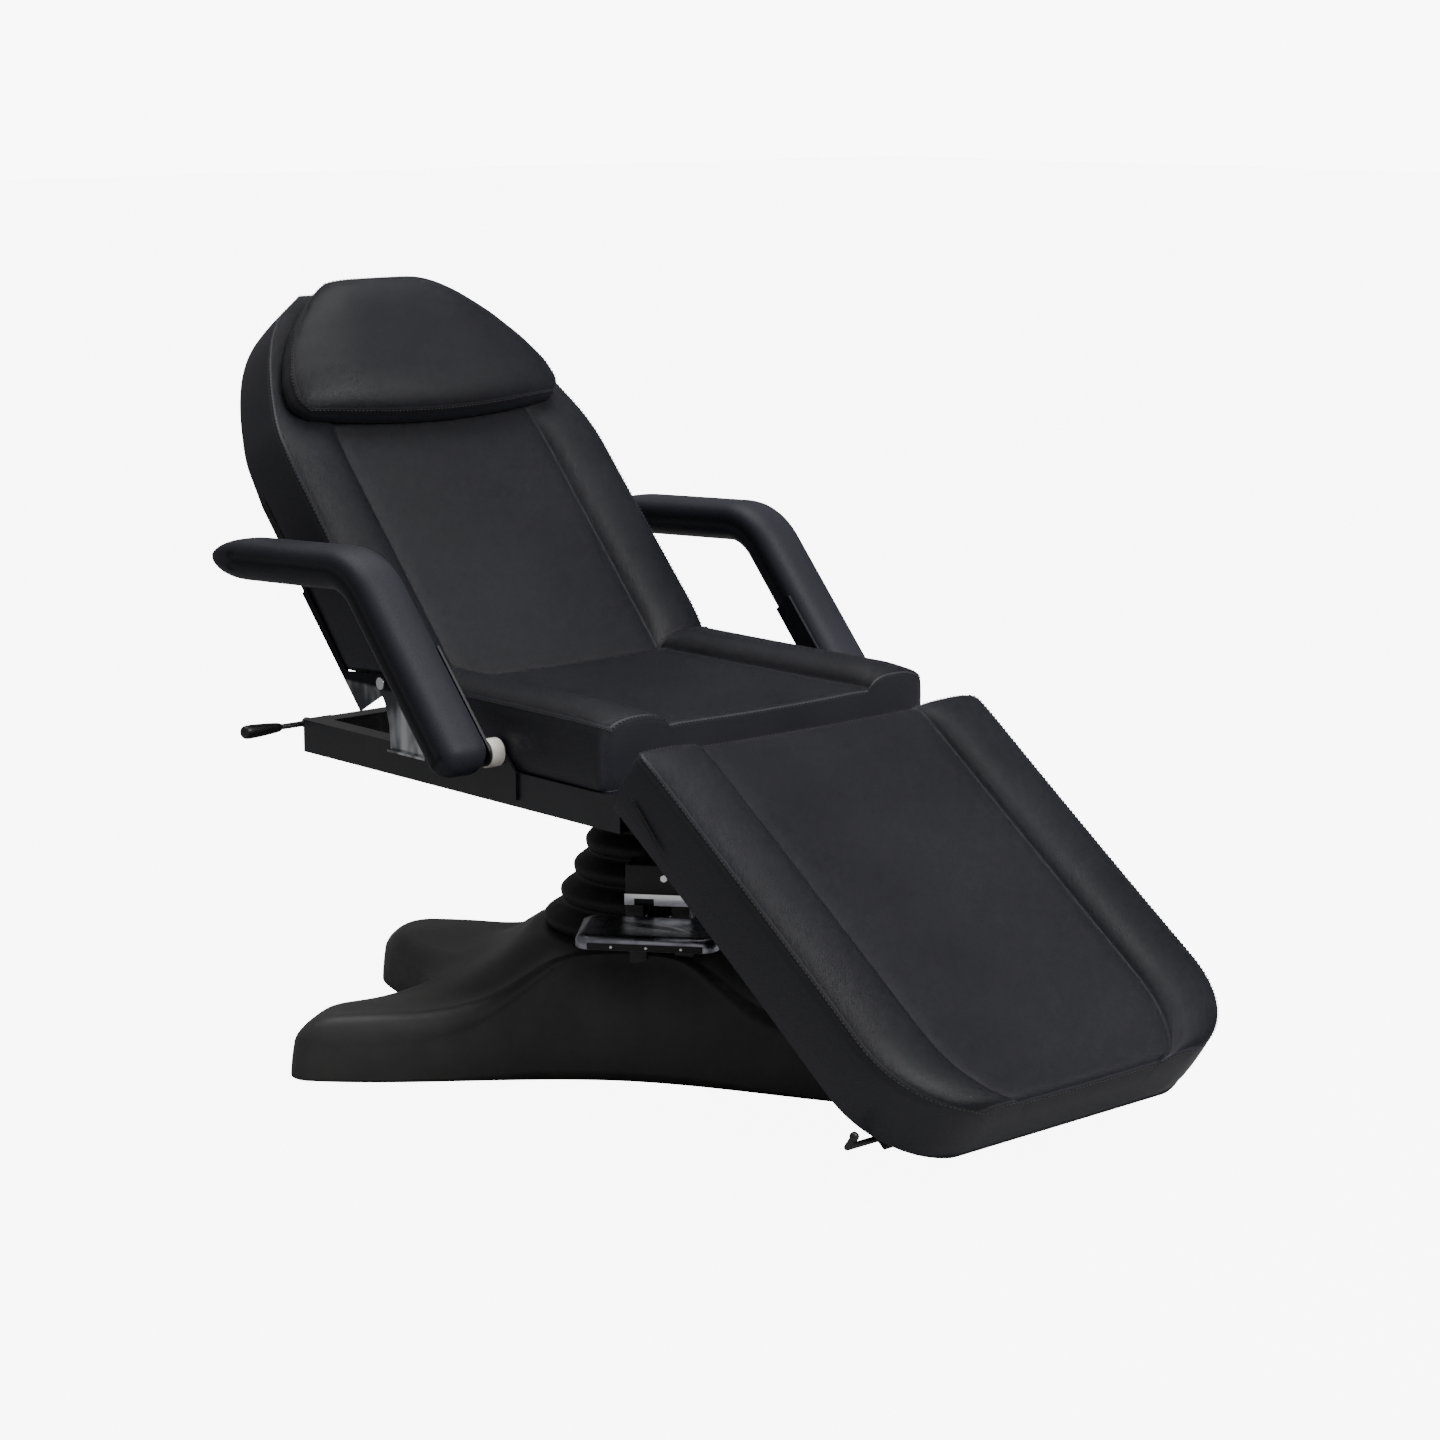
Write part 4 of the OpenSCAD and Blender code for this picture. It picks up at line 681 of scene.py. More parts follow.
SEAT_LEN = 442
SEAT_HALF = 290
SEAT_LOW = 0.5
SEAT_SEAM = 80
SEAT_FRONT = 250
SEAT_BOLSTER = 24
SEAT_MIDDLE = -6
SEAT_LIFT_SHARE = 0.72
SEAT_LIFT_LEN = 60
SEAT_END_DROP = 8
SEAT_END_ROUND = 14
SEAT_HOLLOW = 5
SEAT_HOLLOW_LEN = 12


def seat_half_at(along):
    return SEAT_HALF - corner_in(CORNER_R, min(along, SEAT_LEN - along))


def seat_lift(along):
    return from_least(SEAT_LIFT_SHARE, along / SEAT_LIFT_LEN)


def seat_end(across, along):
    return end_drop(min(along, SEAT_LEN - along), SEAT_END_DROP, SEAT_END_ROUND)


def seat_hollow(along, share):
    """The front is a little concave between its seam and its lower edge."""
    return (1 - ease(along / SEAT_HOLLOW_LEN)) * SEAT_HOLLOW * math.sin(math.pi * share)


seat = Cushion(SEAT_LEN, seat_half_at, frame_top + SEAT_LOW, frame_top + SEAT_SEAM, SEAT_BOLSTER, SEAT_MIDDLE,
               marks(0, SEAT_LEN, [0, SEAT_LEN]), SEAT_HALF)
seat_place = at_column @ Matrix.Translation((0, -SEAT_FRONT, 0))
seat.lift_at = seat_lift
seat.end_at = seat_end
seat.hollow = seat_hollow
upholstered("seat_upholstery", seat, seat_place, "frame", "seat_cushion")

BACK_LEN = 655
BACK_HALF = 287
BACK_BOLSTER = 13
BACK_MIDDLE = 6
BACK_LIFT_SHARE = 0.35
BACK_LIFT_LEN = 60
BACK_HANG = 37
BACK_HANG_DEEP = 60
BACK_HANG_LEN = 90
BACK_HANG_POWER = 16
BACK_CUT_SHARE = 0.74
BACK_CUT_REACH = 170
BACK_CUT_POWER = 1.5
BACK_BULGE = 8
BACK_BULGE_START = 330
BACK_BULGE_LEN = 120
BACK_OUTLINE = [(0, 0.985), (0.02, 1), (0.54, 1), (0.62, 0.98), (0.7, 0.918), (0.77, 0.858), (0.84, 0.78),
                (0.9, 0.69), (0.95, 0.585), (0.985, 0.44), (1, 0.3)]
WRAP_LOW = -89.2
PILLOW_START = 404
PILLOW_FADE = 60
FAIR_SHARES = (-0.03, -0.015, 0, 0.015, 0.03)


def faired(table, share):
    """A value between the points of a table, smoothed by an average of its near neighbours."""
    stations = [point[0] for point in table]
    values = [point[1] for point in table]
    near = [share + offset for offset in FAIR_SHARES]
    inside = [2 - place if place > 1 else abs(place) for place in near]
    return float(np.mean(np.interp(inside, stations, values)))


def back_half_at(along):
    corner = corner_in(CORNER_R, min(along, BACK_LEN - along))
    return BACK_HALF * faired(BACK_OUTLINE, along / BACK_LEN) - corner


def back_lift(along):
    """The bolsters rise from the lower end and sink away under the pillow."""
    low = from_least(BACK_LIFT_SHARE, along / BACK_LIFT_LEN)
    return low * ease((PILLOW_START + PILLOW_FADE - along) / (2 * PILLOW_FADE))


def back_bend(point):
    """The lower end hangs in a bow to the seat, and slants across the cushion's depth."""
    deep = max(0, -point.z)
    bow = (1 - (point.x / BACK_HALF) ** BACK_HANG_POWER) * (1 - ease(deep / BACK_HANG_DEEP))
    point.y -= BACK_HANG * bow * (1 - ease(point.y / BACK_HANG_LEN))
    point.y += BACK_CUT_SHARE * deep * max(0, 1 - point.y / BACK_CUT_REACH) ** BACK_CUT_POWER
    return point


def back_hollow(along, share):
    """Towards the head the band leans out to the board."""
    return -BACK_BULGE * (1 - share) * ease((along - BACK_BULGE_START) / BACK_BULGE_LEN)


back = Cushion(BACK_LEN, back_half_at, WRAP_LOW, 0, BACK_BOLSTER, BACK_MIDDLE,
               marks(0, BACK_LEN, [0, BACK_LEN]), BACK_HALF)
back.lift_at = back_lift
back.bend = back_bend
back.hollow = back_hollow
upholstered("back_upholstery", back, on_back, "backrest", "back_cushion")

PILLOW_LEN = 246
PILLOW_HALF = 240
PILLOW_T = 30
PILLOW_CROWN = 28
PILLOW_DROOP = 24
PILLOW_CORNER = 11
PILLOW_MOST = 10
PILLOW_EDGE = 6
PILLOW_SIDE_SHARE = 1.9
PILLOW_END_ROUND = 80
PILLOW_DOME_POWER = 0.9
PILLOW_FLAT_SHARE = 0.12
PILLOW_OUTLINE = [(0, 0.93), (0.08, 1), (0.25, 0.98), (0.45, 0.9), (0.65, 0.77), (0.85, 0.58),
                  (0.95, 0.45), (1, 0.36)]


def pillow_half_at(along):
    corner = corner_in(PILLOW_CORNER, min(along, PILLOW_LEN - along))
    return PILLOW_HALF * faired(PILLOW_OUTLINE, along / PILLOW_LEN) - corner


def pillow_bend(point):
    """The lower edge hangs in a bow, lowest in the middle."""
    point.y += PILLOW_DROOP * (point.x / PILLOW_HALF) ** 2 * (1 - point.y / PILLOW_LEN)
    return point


def pillow_face(across, along):
    """A soft dome that drops quickly to the seam all round."""
    side = rounded((1 - abs(across)) * PILLOW_SIDE_SHARE)
    end = rounded(min(along, PILLOW_LEN - along) / PILLOW_END_ROUND)
    dome = (side * end) ** PILLOW_DOME_POWER * (1 - PILLOW_FLAT_SHARE * across * across)
    return PILLOW_T - PILLOW_EDGE + (PILLOW_CROWN + PILLOW_EDGE) * dome


pillow = Cushion(PILLOW_LEN, pillow_half_at, 0, PILLOW_T, 0, PILLOW_CROWN,
                 marks(0, PILLOW_LEN, [0, PILLOW_LEN], most=PILLOW_MOST), PILLOW_HALF)
pillow.bend = pillow_bend
pillow.face = pillow_face
upholstered("pillow_upholstery", pillow, on_back @ Matrix.Translation((0, PILLOW_START, 0)), "backrest",
            "head_pillow")

LEG_LEN = 627
LEG_HALF = 305
LEG_CORNER = 130
LEG_CORNER_STEPS = 13
LEG_BOLSTER = 16
LEG_MIDDLE = -6
LEG_SCOOP = 7
LEG_SCOOP_LEN = 45
LEG_SCOOP_POWER = 4


def leg_half_at(along):
    return LEG_HALF - corner_in(LEG_CORNER, LEG_LEN - along) - corner_in(CORNER_R, along)


def leg_end(across, along):
    """The ends round down, and the end at the seat is scooped between the bolsters."""
    scoop = LEG_SCOOP * (1 - across ** LEG_SCOOP_POWER) * (1 - ease(along / LEG_SCOOP_LEN))
    return end_drop(min(along, LEG_LEN - along)) - scoop


leg_straight = marks(0, LEG_LEN - LEG_CORNER, [0])
leg_round = [LEG_LEN - LEG_CORNER + LEG_CORNER * math.sin(math.pi / 2 * step / LEG_CORNER_STEPS)
             for step in range(1, LEG_CORNER_STEPS + 1)]
leg = Cushion(LEG_LEN, leg_half_at, WRAP_LOW, 0, LEG_BOLSTER, LEG_MIDDLE, leg_straight + leg_round, LEG_HALF)
leg.end_at = leg_end
upholstered("leg_upholstery", leg, on_leg, "leg_rest", "leg_cushion")

# Armrests

ARM_GAP = 28
ARM_W = 77
ARM_T = 58
ARM_SLOPE = 48.3
ARM_DROOP = 3
ARM_TOP = 276
ARM_PIVOT_Y = 36
ARM_PIVOT_UP = 23
ARM_BEND = 90
ARM_REAR = 510
ARM_LOW_START = -24
ARM_TIP = 28
ARM_REAR_TIP = 100
ARM_RING = 48
ARM_STEP = 9
ARM_TIP_STEPS = 9
ARM_BEND_STEPS = 14
ARM_REAR_STEPS = 17
ARM_REAR_POWER = 0.75
ARM_POWER_SHARE = 0.68
ARM_TIP_WIDTH_SHARE = 0.25
ARM_SEAM_SHARE = 0.03
ARM_SEAM_SHARPNESS = 9
ARM_SEAM_BAND_SHARES = (0.955, 0.975)
ARM_SEAM_MARK = 0.9
ARM_POLE_SHARE = 0.001
arm_middle = frame_half + ARM_GAP + ARM_W / 2


def arm_path():
    """Stations of the armrest: place from the pivot, slope, and how full the section is."""
    slope = math.radians(ARM_SLOPE)
    droop = math.radians(-ARM_DROOP)
    level = ARM_TOP - ARM_T / 2 - ARM_PIVOT_UP
    low_way = Vector((math.cos(slope), math.sin(slope)))
    rear_way = Vector((math.cos(droop), math.sin(droop)))
    corner = Vector((level / math.tan(slope), level))
    tangent = ARM_BEND * math.tan((slope - droop) / 2)
    limb = corner.length - tangent
    rear = (ARM_REAR + ARM_PIVOT_Y - corner.x) / rear_way.x
    stations = [(low_way * (ARM_LOW_START + ARM_TIP * (1 - math.cos(turn))), slope, math.sin(turn))
                for turn in np.linspace(0, math.pi / 2, ARM_TIP_STEPS)]
    for d in np.arange(ARM_LOW_START + ARM_TIP + ARM_STEP, limb, ARM_STEP):
        stations.append((low_way * float(d), slope, 1))
    centre = low_way * limb + ARM_BEND * Vector((math.sin(slope), -math.cos(slope)))
    for turn in np.linspace(slope, droop, ARM_BEND_STEPS):
        stations.append((centre + ARM_BEND * Vector((-math.sin(turn), math.cos(turn))), float(turn), 1))
    for d in np.arange(tangent + ARM_STEP, rear - ARM_REAR_TIP, ARM_STEP):
        stations.append((corner + rear_way * float(d), droop, 1))
    for turn in np.linspace(0, math.pi / 2, ARM_REAR_STEPS):
        share = math.sin(turn)
        stations.append((corner + rear_way * (rear - ARM_REAR_TIP * (1 - share)), droop,
                         max(0, 1 - share ** 2) ** ARM_REAR_POWER))
    return stations


def arm_upholstery(side):
    """A tight sleeve over a padded bar, with one seam along the middle of each side."""
    stations = arm_path()

    def point_at(column, row):
        (y, z), slope, full = stations[row]
        turn = 2 * math.pi * column / ARM_RING
        seam_in = 1 - ARM_SEAM_SHARE * math.exp(-(math.sin(turn) * ARM_SEAM_SHARPNESS) ** 2)
        width_share = ARM_TIP_WIDTH_SHARE + (1 - ARM_TIP_WIDTH_SHARE) * full
        out = ARM_W / 2 * powered(math.cos(turn), ARM_POWER_SHARE) * width_share * seam_in
        up = ARM_T / 2 * powered(math.sin(turn), ARM_POWER_SHARE) * full
        if full < ARM_POLE_SHARE:
            out = up = 0
        return Vector((side * (arm_middle + out), y - up * math.sin(slope), z + up * math.cos(slope)))

    bm = wrap(ARM_RING, len(stations) - 1, point_at)
    seam_mark = bm.verts.layers.float.new("seam")
    band_low, band_high = ARM_SEAM_BAND_SHARES
    for vert in bm.verts:
        away = abs(abs(vert.co.x) - arm_middle) / (ARM_W / 2)
        vert[seam_mark] = ARM_SEAM_MARK if band_low < away < band_high else 0.0
    place = at_column @ Matrix.Translation((0, -ARM_PIVOT_Y, frame_top + ARM_PIVOT_UP))
    name = "left" if side < 0 else "right"
    made = piece(name + "_arm_upholstery", bm, place, name + "_arm", sleeve_finish)
    smoothed(made)
    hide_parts(name + "_arm_pad")


arm_upholstery(-1)
arm_upholstery(1)

# Base cover: a low moulded shell, given by the heights of its ridge, valley and edge along its length

COVER_TOP = 165
COVER_LOW = 3
COVER_HOLE_R = 118
COVER_FLAT_R = 150
COVER_FLAT_FADE = 32
COVER_WALL = 4
COVER_TURNS = 360
COVER_ROWS = 44
COVER_WALL_ROWS = 12
COVER_WALL_POWER = 1.6
COVER_EDGE_STEPS = 40
COVER_FOOT_STEPS = 30
COVER_END_POWER = 1.15
FOOT_X = 256
FOOT_Y = 410
FOOT_R = 34
SIDE_MIDDLE_X = 228
END_MIDDLE_Y = 325
FOOT_ARC_END = 108
# Each table gives a height or width in millimetres at distances from the cover's middle
RIDGE_HEIGHTS = [(0, 165), (84, 163), (130, 138), (155, 121), (179, 110), (204, 101), (251, 92), (315, 90),
                 (357, 88), (400, 86), (425, 80), (452, 62)]
VALLEY_HEIGHTS = [(0, 165), (150, 165), (180, 148), (220, 118), (265, 94), (305, 84), (345, 76), (452, 56)]
EDGE_HEIGHTS = [(0, 160), (80, 158), (137, 112), (187, 76), (245, 58), (328, 50), (400, 48), (452, 46)]
EDGE_INSETS = [(0, 62), (86, 60), (145, 42), (197, 26), (255, 15), (328, 8), (452, 5)]
EDGE_REACHES = [(0, 14), (86, 20), (145, 46), (197, 62), (255, 60), (452, 45)]
RIDGE_X = 215
RIDGE_HALF = 75
LOOK_REACH = 24
LOOK_STEPS = 9


def looked(table, places):
    """Table values at distances, faired over their neighbours so that no kink shows."""
    stations, values = zip(*table)
    offsets = np.linspace(-LOOK_REACH, LOOK_REACH, LOOK_STEPS)
    return sum(np.interp(np.abs(places + offset), stations, values) for offset in offsets) / len(offsets)


def cover_quarter():
    """A quarter of the outline on the floor, from the middle of a side to the middle of an end."""
    along = np.linspace(0, FOOT_Y, COVER_EDGE_STEPS)
    side = np.stack([SIDE_MIDDLE_X + (FOOT_X + FOOT_R - SIDE_MIDDLE_X) * ease(along / FOOT_Y), along], 1)
    turns = np.radians(np.linspace(0, FOOT_ARC_END, COVER_FOOT_STEPS))
    foot = np.stack([FOOT_X + FOOT_R * np.cos(turns), FOOT_Y + FOOT_R * np.sin(turns)], 1)
    shares = np.linspace(1, 0, COVER_EDGE_STEPS)
    end = np.stack([foot[-1, 0] * shares,
                    END_MIDDLE_Y + (foot[-1, 1] - END_MIDDLE_Y) * ease(shares) ** COVER_END_POWER], 1)
    return np.concatenate([side, foot[1:], end[1:]])


def cover_height(x, y, edge_gaps):
    """Height of the shell: the ridges over the feet, the valley between them and the flat top."""
    along = np.abs(y)
    valley = looked(VALLEY_HEIGHTS, along)
    inside = np.maximum(0, RIDGE_X - np.abs(x)) / RIDGE_HALF
    height = valley + (looked(RIDGE_HEIGHTS, along) - valley) * np.exp(-inside ** 2)
    flat = 1 - ease((np.hypot(x, y) - COVER_FLAT_R) / COVER_FLAT_FADE)
    height = height + (COVER_TOP - height) * flat
    edge = looked(EDGE_HEIGHTS, along)
    near = 1 - np.clip(edge_gaps / looked(EDGE_REACHES, along), 0, 1)
    return edge + (height - edge) * np.sqrt(1 - near ** 2)


def cover_rings():
    """Rings of the closed shell: out over the top, down the wall, and back up inside."""
    quarter = cover_quarter()
    turns = 2 * np.pi * np.arange(COVER_TURNS) / COVER_TURNS
    folded = np.arctan2(np.abs(np.sin(turns)), np.abs(np.cos(turns)))
    reach = np.interp(folded, np.arctan2(quarter[:, 1], quarter[:, 0]),
                      np.hypot(quarter[:, 0], quarter[:, 1]))
    top = reach - looked(EDGE_INSETS, np.abs(reach * np.sin(turns)))

    def ring(r, heights):
        return np.stack([r * np.cos(turns), r * np.sin(turns), heights], 1)

    rings = []
    for share in np.sin(np.linspace(0, np.pi / 2, COVER_ROWS + 1)):
        r = COVER_HOLE_R + (top - COVER_HOLE_R) * share
        rings.append(ring(r, cover_height(r * np.cos(turns), r * np.sin(turns), top - r)))
    rim = rings[-1][:, 2]
    for share in np.linspace(0, 1, COVER_WALL_ROWS + 1)[1:]:
        r = top + (reach - top) * (1 - (1 - share) ** COVER_WALL_POWER)
        rings.append(ring(r, rim + (COVER_LOW - rim) * share))
    inner = []
    for outer in rings[::-2]:
        shrunk = 1 - COVER_WALL / np.hypot(outer[:, 0], outer[:, 1])
        heights = np.maximum(COVER_LOW, outer[:, 2] - COVER_WALL)
        inner.append(np.stack([outer[:, 0] * shrunk, outer[:, 1] * shrunk, heights], 1))
    return np.array(rings + inner)


cover_shell = cover_rings()


def cover_point(column, row):
    return Vector(cover_shell[row % len(cover_shell)][column % COVER_TURNS])


cover = piece("cover_shell", wrap(COVER_TURNS, len(cover_shell), cover_point), on_base, "base",
              cover_finish)
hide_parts("base_cover")

# Bellows: five soft folds, each narrower than the one below

BOOT_LOW = 165
BOOT_HIGH = 339.9
BOOT_R = 146
BOOT_SHARES = [1, 0.84, 0.72, 0.61, 0.53]
BOOT_WALL = 3
BOOT_TURNS = 120
BOOT_FOLD_STEPS = 12
BOOT_DRAW = 5
BOOT_BULGE_SHARE = 0.89
BOOT_BULGE_SPREAD_SHARE = 1.12
BOOT_SHOULDER_SHARE = 0.35
BOOT_SAG_SHARE = 0.011
BOOT_SAG_TURNS = 3
BOOT_SAG_TWIST = 5


def boot_rings():
    """Outline of the folds going up, then back down inside the wall."""
    tier = (BOOT_HIGH - BOOT_LOW) / len(BOOT_SHARES)
    line = []
    for number, share in enumerate(BOOT_SHARES):
        above = BOOT_SHARES[min(number + 1, len(BOOT_SHARES) - 1)]
        for step in range(BOOT_FOLD_STEPS):
            up = step / BOOT_FOLD_STEPS
            bulge = 0
            if up < BOOT_BULGE_SHARE:
                bulge = math.sqrt(math.sin(math.pi * min(1, up * BOOT_BULGE_SPREAD_SHARE)))
            shoulder = ease((up - BOOT_SHOULDER_SHARE) / (1 - BOOT_SHOULDER_SHARE))
            r = BOOT_R * (share + (above - share) * shoulder)
            line.append((r - BOOT_DRAW * (1 - bulge), BOOT_LOW + (number + up) * tier))
    line.append((line[-1][0], BOOT_HIGH))
    return line + [(r - BOOT_WALL, z) for r, z in reversed(line)]


boot_line = boot_rings()


def boot_point(column, row):
    r, z = boot_line[row % len(boot_line)]
    turn = 2 * math.pi * column / BOOT_TURNS
    height = (z - BOOT_LOW) / (BOOT_HIGH - BOOT_LOW)
    wave = math.sin(BOOT_SAG_TURNS * turn + BOOT_SAG_TWIST * height)
    sag = 1 + BOOT_SAG_SHARE * wave * math.sin(math.pi * height)
    return Vector((r * sag * math.cos(turn), r * sag * math.sin(turn), z))


boot = piece("bellows_boot", wrap(BOOT_TURNS, len(boot_line), boot_point), at_column, None,
             boot_finish)
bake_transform(boot)
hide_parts("bellows")

# The pedal's tread: a pressing with a soft edge and round corners, its flange open towards the column

PEDAL_PIVOT = (-184, -44, 219)
PEDAL_DROOP = 4
PEDAL_START = 21
PEDAL_REACH = 100
PEDAL_HALF_W = 95
PEDAL_SHIFT = -1
PEDAL_CORNER = 20
PEDAL_TOP = 10
PEDAL_RIM_LOW = -8
PEDAL_EDGE_R = 12
PEDAL_WALL = 2.4
PEDAL_RING_STEP = 1
PEDAL_TOP_STEP = 1.5
PEDAL_OPEN_DEEP = 3
PEDAL_CORNER_STEPS = 9
PEDAL_EDGE_STEPS = 6

on_pedal = (on_base @ Matrix.Translation(PEDAL_PIVOT) @ Matrix.Rotation(math.radians(-PEDAL_DROOP), 4, "Y")
            @ Matrix.Translation((-PEDAL_START - PEDAL_REACH / 2, PEDAL_SHIFT, 0)))


def pedal_outline():
    """Points of the tread's outline, each with the way out there."""
    line = []
    for number, (side_x, side_y) in enumerate(((1, 1), (-1, 1), (-1, -1), (1, -1))):
        middle = Vector((side_x * (PEDAL_REACH / 2 - PEDAL_CORNER), side_y * (PEDAL_HALF_W - PEDAL_CORNER)))
        for step in range(PEDAL_CORNER_STEPS):
            turn = math.pi / 2 * (number + step / (PEDAL_CORNER_STEPS - 1))
            out = Vector((math.cos(turn), math.sin(turn)))
            line.append((middle + out * PEDAL_CORNER, out))
    return line


pedal_line = pedal_outline()
# Inset and height of each ring of the tread, from its lower edge to its flat top
pedal_rings = [(0, PEDAL_RIM_LOW), (0, PEDAL_RIM_LOW + PEDAL_RING_STEP),
               (0, PEDAL_TOP - PEDAL_EDGE_R - PEDAL_RING_STEP)]
pedal_rings += [(PEDAL_EDGE_R * (1 - math.cos(turn)), PEDAL_TOP - PEDAL_EDGE_R * (1 - math.sin(turn)))
                for turn in np.linspace(0, math.pi / 2, PEDAL_EDGE_STEPS)]
pedal_rings += [(PEDAL_EDGE_R + PEDAL_TOP_STEP, PEDAL_TOP), (PEDAL_CORNER - PEDAL_RING_STEP, PEDAL_TOP)]


def pedal_point(column, row):
    spot, out = pedal_line[column % len(pedal_line)]
    if row >= len(pedal_rings):
        return Vector((0, spot.y / 2 * (len(pedal_rings) + 1 - row), PEDAL_TOP))
    inset, high = pedal_rings[row]
    if spot.x > 0:
        high = max(high, PEDAL_TOP - PEDAL_OPEN_DEEP)
    return Vector((*(spot - out * inset), high))


tread_form = wrap(len(pedal_line), len(pedal_rings) + 1, pedal_point)
bmesh.ops.recalc_face_normals(tread_form, faces=tread_form.faces)
bmesh.ops.solidify(tread_form, geom=tread_form.faces, thickness=PEDAL_WALL)
tread = piece("pedal_tread", tread_form, on_pedal, "pedal", tread_finish)
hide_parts("pedal_plate")


def block(bm, low, high, place=Matrix.Identity(4)):
    """Adds a box between two corners."""
    middle = (Vector(low) + Vector(high)) / 2
    size = Vector(high) - Vector(low)
    bmesh.ops.create_cube(bm, size=1, matrix=place @ Matrix.Translation(middle) @ Matrix.Diagonal((*size, 1)))


def softened(bm, width):
    """Rounds off every edge."""
    bmesh.ops.bevel(bm, geom=bm.edges, offset=width, segments=2, profile=0.5, affect="EDGES",
                    material=-1, clamp_overlap=True)


BAND_HALF = 76
BAND_T = 2
BAND_LOW = -7
BAND_HIGH = 1.5
BAND_ROUND = 0.9
RIVET_PLACES = [-48, -2, 44]
RIVET_R = 2.4
RIVET_FLAT_SHARE = 0.5
pedal_front = -PEDAL_REACH / 2

band_form = bmesh.new()
block(band_form, (pedal_front - BAND_T, -BAND_HALF, BAND_LOW), (pedal_front, BAND_HALF, BAND_HIGH))
softened(band_form, BAND_ROUND)
band = piece("pedal_band", band_form, on_pedal, "pedal", rubber_finish)
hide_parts("pedal_rim")

rivet_form = bmesh.new()
for place_y in RIVET_PLACES:
    spot = Matrix.Translation((pedal_front - BAND_T, place_y, (BAND_LOW + BAND_HIGH) / 2))
    bmesh.ops.create_uvsphere(rivet_form, u_segments=14, v_segments=8, radius=RIVET_R,
                              matrix=spot @ Matrix.Diagonal((RIVET_FLAT_SHARE, 1, 1, 1)))
rivets = piece("pedal_dome_rivets", rivet_form, on_pedal, "pedal", chrome_finish)
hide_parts("pedal_rivets")

# Pump housing: a cast head on two legs that stand back behind the pedal

PUMP_OUT = -196
PUMP_IN = -150
PUMP_LEG_OUT = -172
PUMP_CHEEK_LOW = 204
PUMP_HEAD_LOW = 237.6
PUMP_HIGH = 292
PUMP_FOOT = 58
PUMP_NEAR = -1
PUMP_FAR = -87
PUMP_LEG_W = 25
PUMP_ROUND = 2.2

pump_form = bmesh.new()
block(pump_form, (PUMP_OUT, PUMP_FAR, PUMP_HEAD_LOW), (PUMP_IN, PUMP_NEAR, PUMP_HIGH), on_base)
for start in (PUMP_FAR, PUMP_NEAR - PUMP_LEG_W):
    end = start + PUMP_LEG_W
    block(pump_form, (PUMP_OUT, start, PUMP_CHEEK_LOW), (PUMP_IN, end, PUMP_HEAD_LOW), on_base)
    block(pump_form, (PUMP_LEG_OUT, start, PUMP_FOOT), (PUMP_IN, end, PUMP_CHEEK_LOW), on_base)
softened(pump_form, PUMP_ROUND)
pump = piece("pump_casting", pump_form, Matrix.Identity(4), "base", cover_finish)
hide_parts("pump_housing")

# A dark lens on the near side of the leg rest, near its hinge: painted shade standing in for a narrow slot

SLOT_START = (-306.6, 38, -48)
SLOT_END = (-306.6, 124, -64)
SLOT_HALF_W = 2.6
SLOT_HALF_T = 1.6
slot_way = Vector(SLOT_END) - Vector(SLOT_START)
slot_middle = (Vector(SLOT_START) + Vector(SLOT_END)) / 2
slot_form = bmesh.new()
bmesh.ops.create_uvsphere(slot_form, u_segments=24, v_segments=12, radius=1,
                          matrix=Matrix.Translation(slot_middle)
                          @ Matrix.Rotation(math.atan2(slot_way.z, slot_way.y), 4, "X")
                          @ Matrix.Diagonal((SLOT_HALF_T, slot_way.length / 2, SLOT_HALF_W, 1)))
# painted shade: dark rubber in place of the slot's shaded opening
piece("leg_slot_painted_shade", slot_form, on_leg, "leg_rest", boot_finish)

# Grip of the recline lever: a dipped handle, thickest near its rounded tip

GRIP_TURNS = 32
# Share of the length and radius at each ring
GRIP_RADII = [(0, 0), (0, 4.4), (0.02, 5.6), (0.07, 6.6), (0.2, 7.6), (0.45, 8.9), (0.7, 9.8), (0.84, 10),
              (0.92, 9.6), (0.97, 8.2), (0.992, 6), (1, 3), (1, 0)]
grip_low, grip_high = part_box("recline_grip")
grip_middle = (grip_low + grip_high) / 2 / MM
grip_start = grip_high.x / MM
grip_end = grip_low.x / MM


def grip_point(column, row):
    share, radius = GRIP_RADII[row]
    turn = 2 * math.pi * column / GRIP_TURNS
    return Vector((grip_start + (grip_end - grip_start) * share, grip_middle.y + radius * math.cos(turn),
                   grip_middle.z + radius * math.sin(turn)))


grip = piece("lever_grip", wrap(GRIP_TURNS, len(GRIP_RADII) - 1, grip_point), Matrix.Identity(4),
             "recline_lever", grip_finish)
smoothed(grip)
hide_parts("recline_grip")

# Stage, lights and camera

FLOOR_SIZE = 60
FLOOR_LEVEL = 0.35
# Name, place and size in metres, and power in watts
STAGE_LIGHTS = [
    ("key", (0.9, -2.9, 3.5), 2.6, 225),
    ("fill", (-2.8, -2.6, 2.6), 2.6, 10),
    ("top", (0.2, 0.9, 3.8), 2.8, 100),
]
LIGHT_AIM = (0, 0, 0.45)
WORLD_GLOW = 0.22
BACKDROP_GLOW = 9.0
FLOOR_GLOW = 8.0

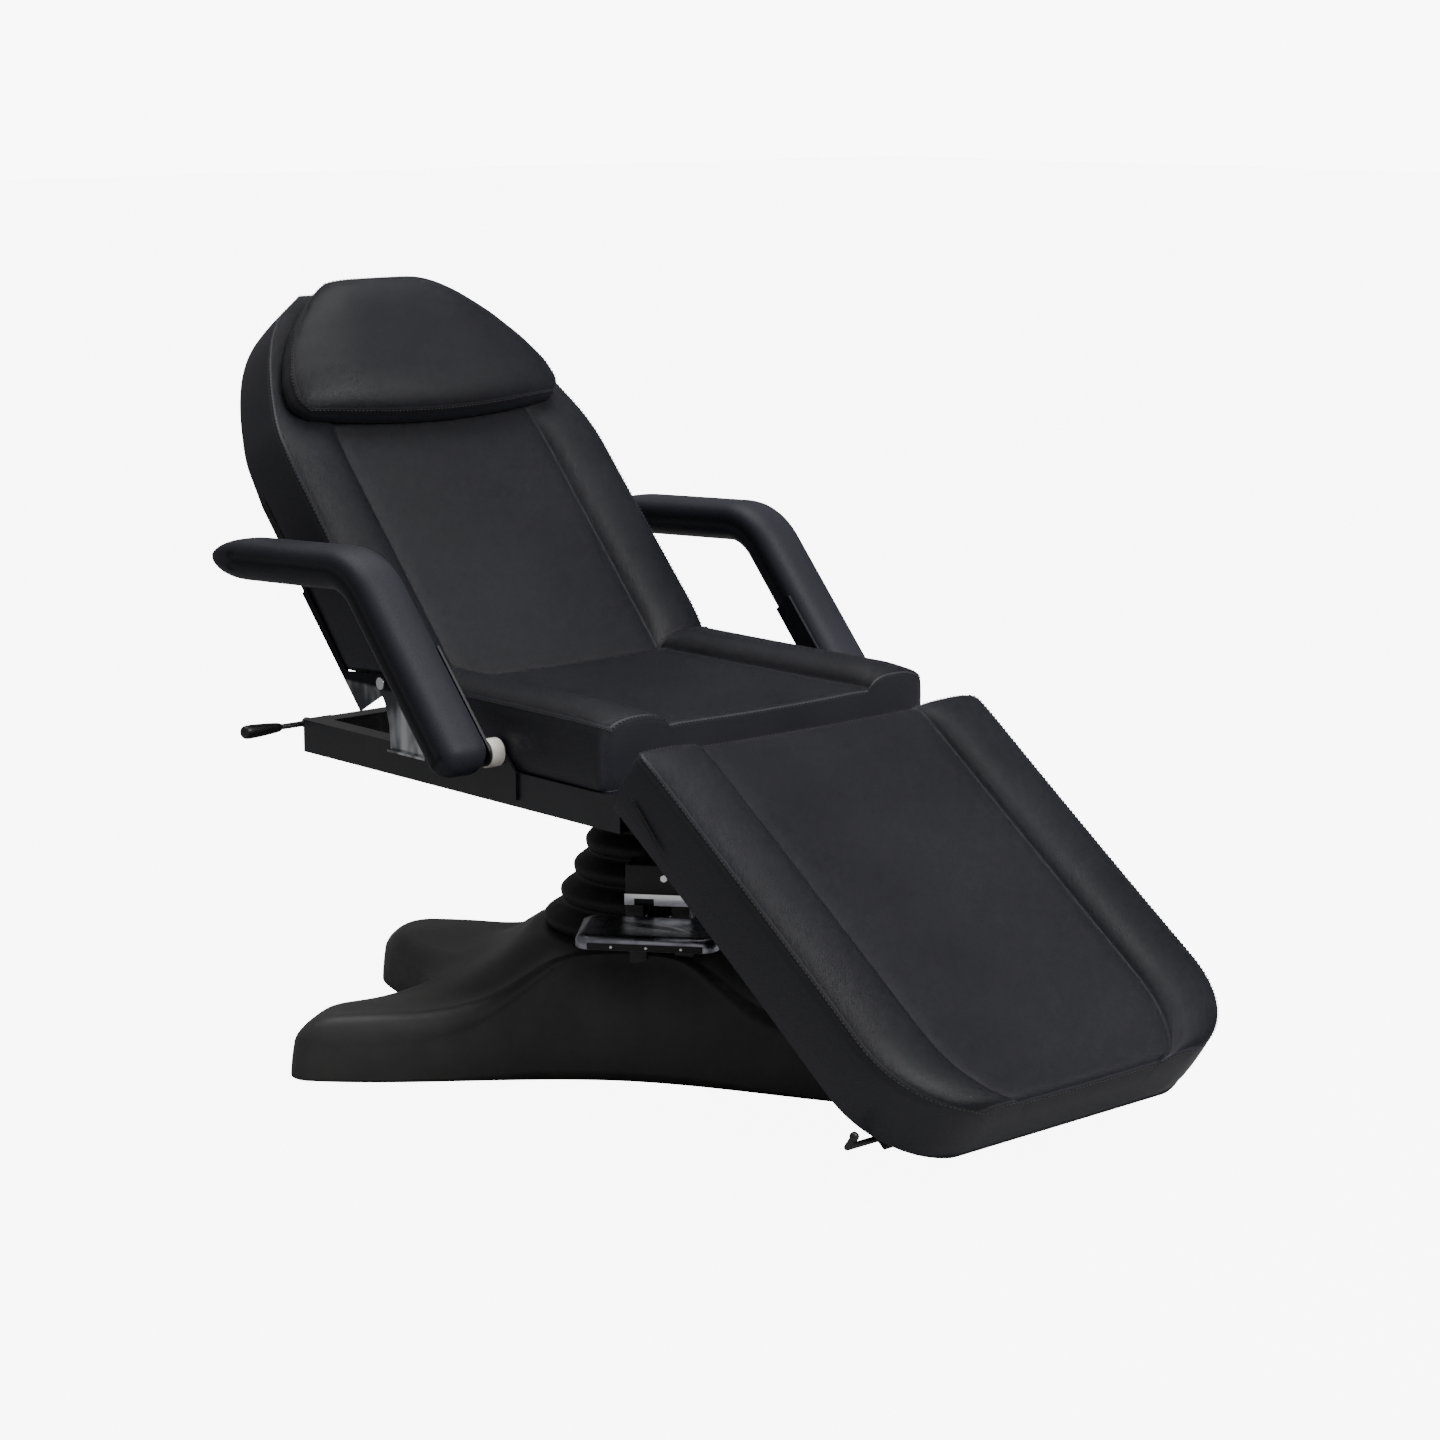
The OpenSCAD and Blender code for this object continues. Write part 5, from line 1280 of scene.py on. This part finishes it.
floor_mesh = bmesh.new()
bmesh.ops.create_grid(floor_mesh, x_segments=1, y_segments=1, size=FLOOR_SIZE / 2)
floor_data = bpy.data.meshes.new("pale floor")
floor_mesh.to_mesh(floor_data)
floor_mesh.free()
floor = bpy.data.objects.new("pale floor", floor_data)
bpy.context.scene.collection.objects.link(floor)
floor_finish = Finish("pale floor", {"Base Color": grey(FLOOR_LEVEL), "Roughness": 0.85,
                                     "Emission Strength": FLOOR_GLOW})
seen = floor_finish.node("ShaderNodeLightPath", {}, {}, "Is Camera Ray")
floor_finish.feed("Emission Color", floor_finish.tint(seen, grey(0), grey(1)))
floor_data.materials.append(floor_finish.material)

for name, spot, size, power in STAGE_LIGHTS:
    lamp = bpy.data.lights.new(name, "AREA")
    lamp.size = size
    lamp.energy = power
    stand = bpy.data.objects.new(name, lamp)
    stand.location = spot
    stand.rotation_euler = (Vector(LIGHT_AIM) - Vector(spot)).to_track_quat("-Z", "Y").to_euler()
    bpy.context.scene.collection.objects.link(stand)

world = bpy.data.worlds.new("studio")
bpy.context.scene.world = world
world.use_nodes = True
backdrop = world.node_tree.nodes["Background"]
backdrop.inputs["Color"].default_value = grey(1.0)
rays = world.node_tree.nodes.new("ShaderNodeLightPath")
glow = world.node_tree.nodes.new("ShaderNodeMapRange")
glow.inputs["To Min"].default_value = WORLD_GLOW
glow.inputs["To Max"].default_value = BACKDROP_GLOW
world.node_tree.links.new(rays.outputs["Is Camera Ray"], glow.inputs["Value"])
world.node_tree.links.new(glow.outputs["Result"], backdrop.inputs["Strength"])

CAMERA_SPOT = (-2.9472, -3.39265, 1.3410)
CAMERA_YAW = 41.72
CAMERA_PITCH = 11.13
CAMERA_LENS = 84.36
yaw = math.radians(CAMERA_YAW)
pitch = math.radians(CAMERA_PITCH)
ahead = Vector((math.sin(yaw) * math.cos(pitch), math.cos(yaw) * math.cos(pitch), -math.sin(pitch)))
lens = bpy.data.cameras.new("photo angle")
lens.lens = CAMERA_LENS
camera = bpy.data.objects.new("photo angle", lens)
camera.location = CAMERA_SPOT
camera.rotation_euler = ahead.to_track_quat("-Z", "Y").to_euler()
bpy.context.scene.collection.objects.link(camera)
bpy.context.scene.camera = camera
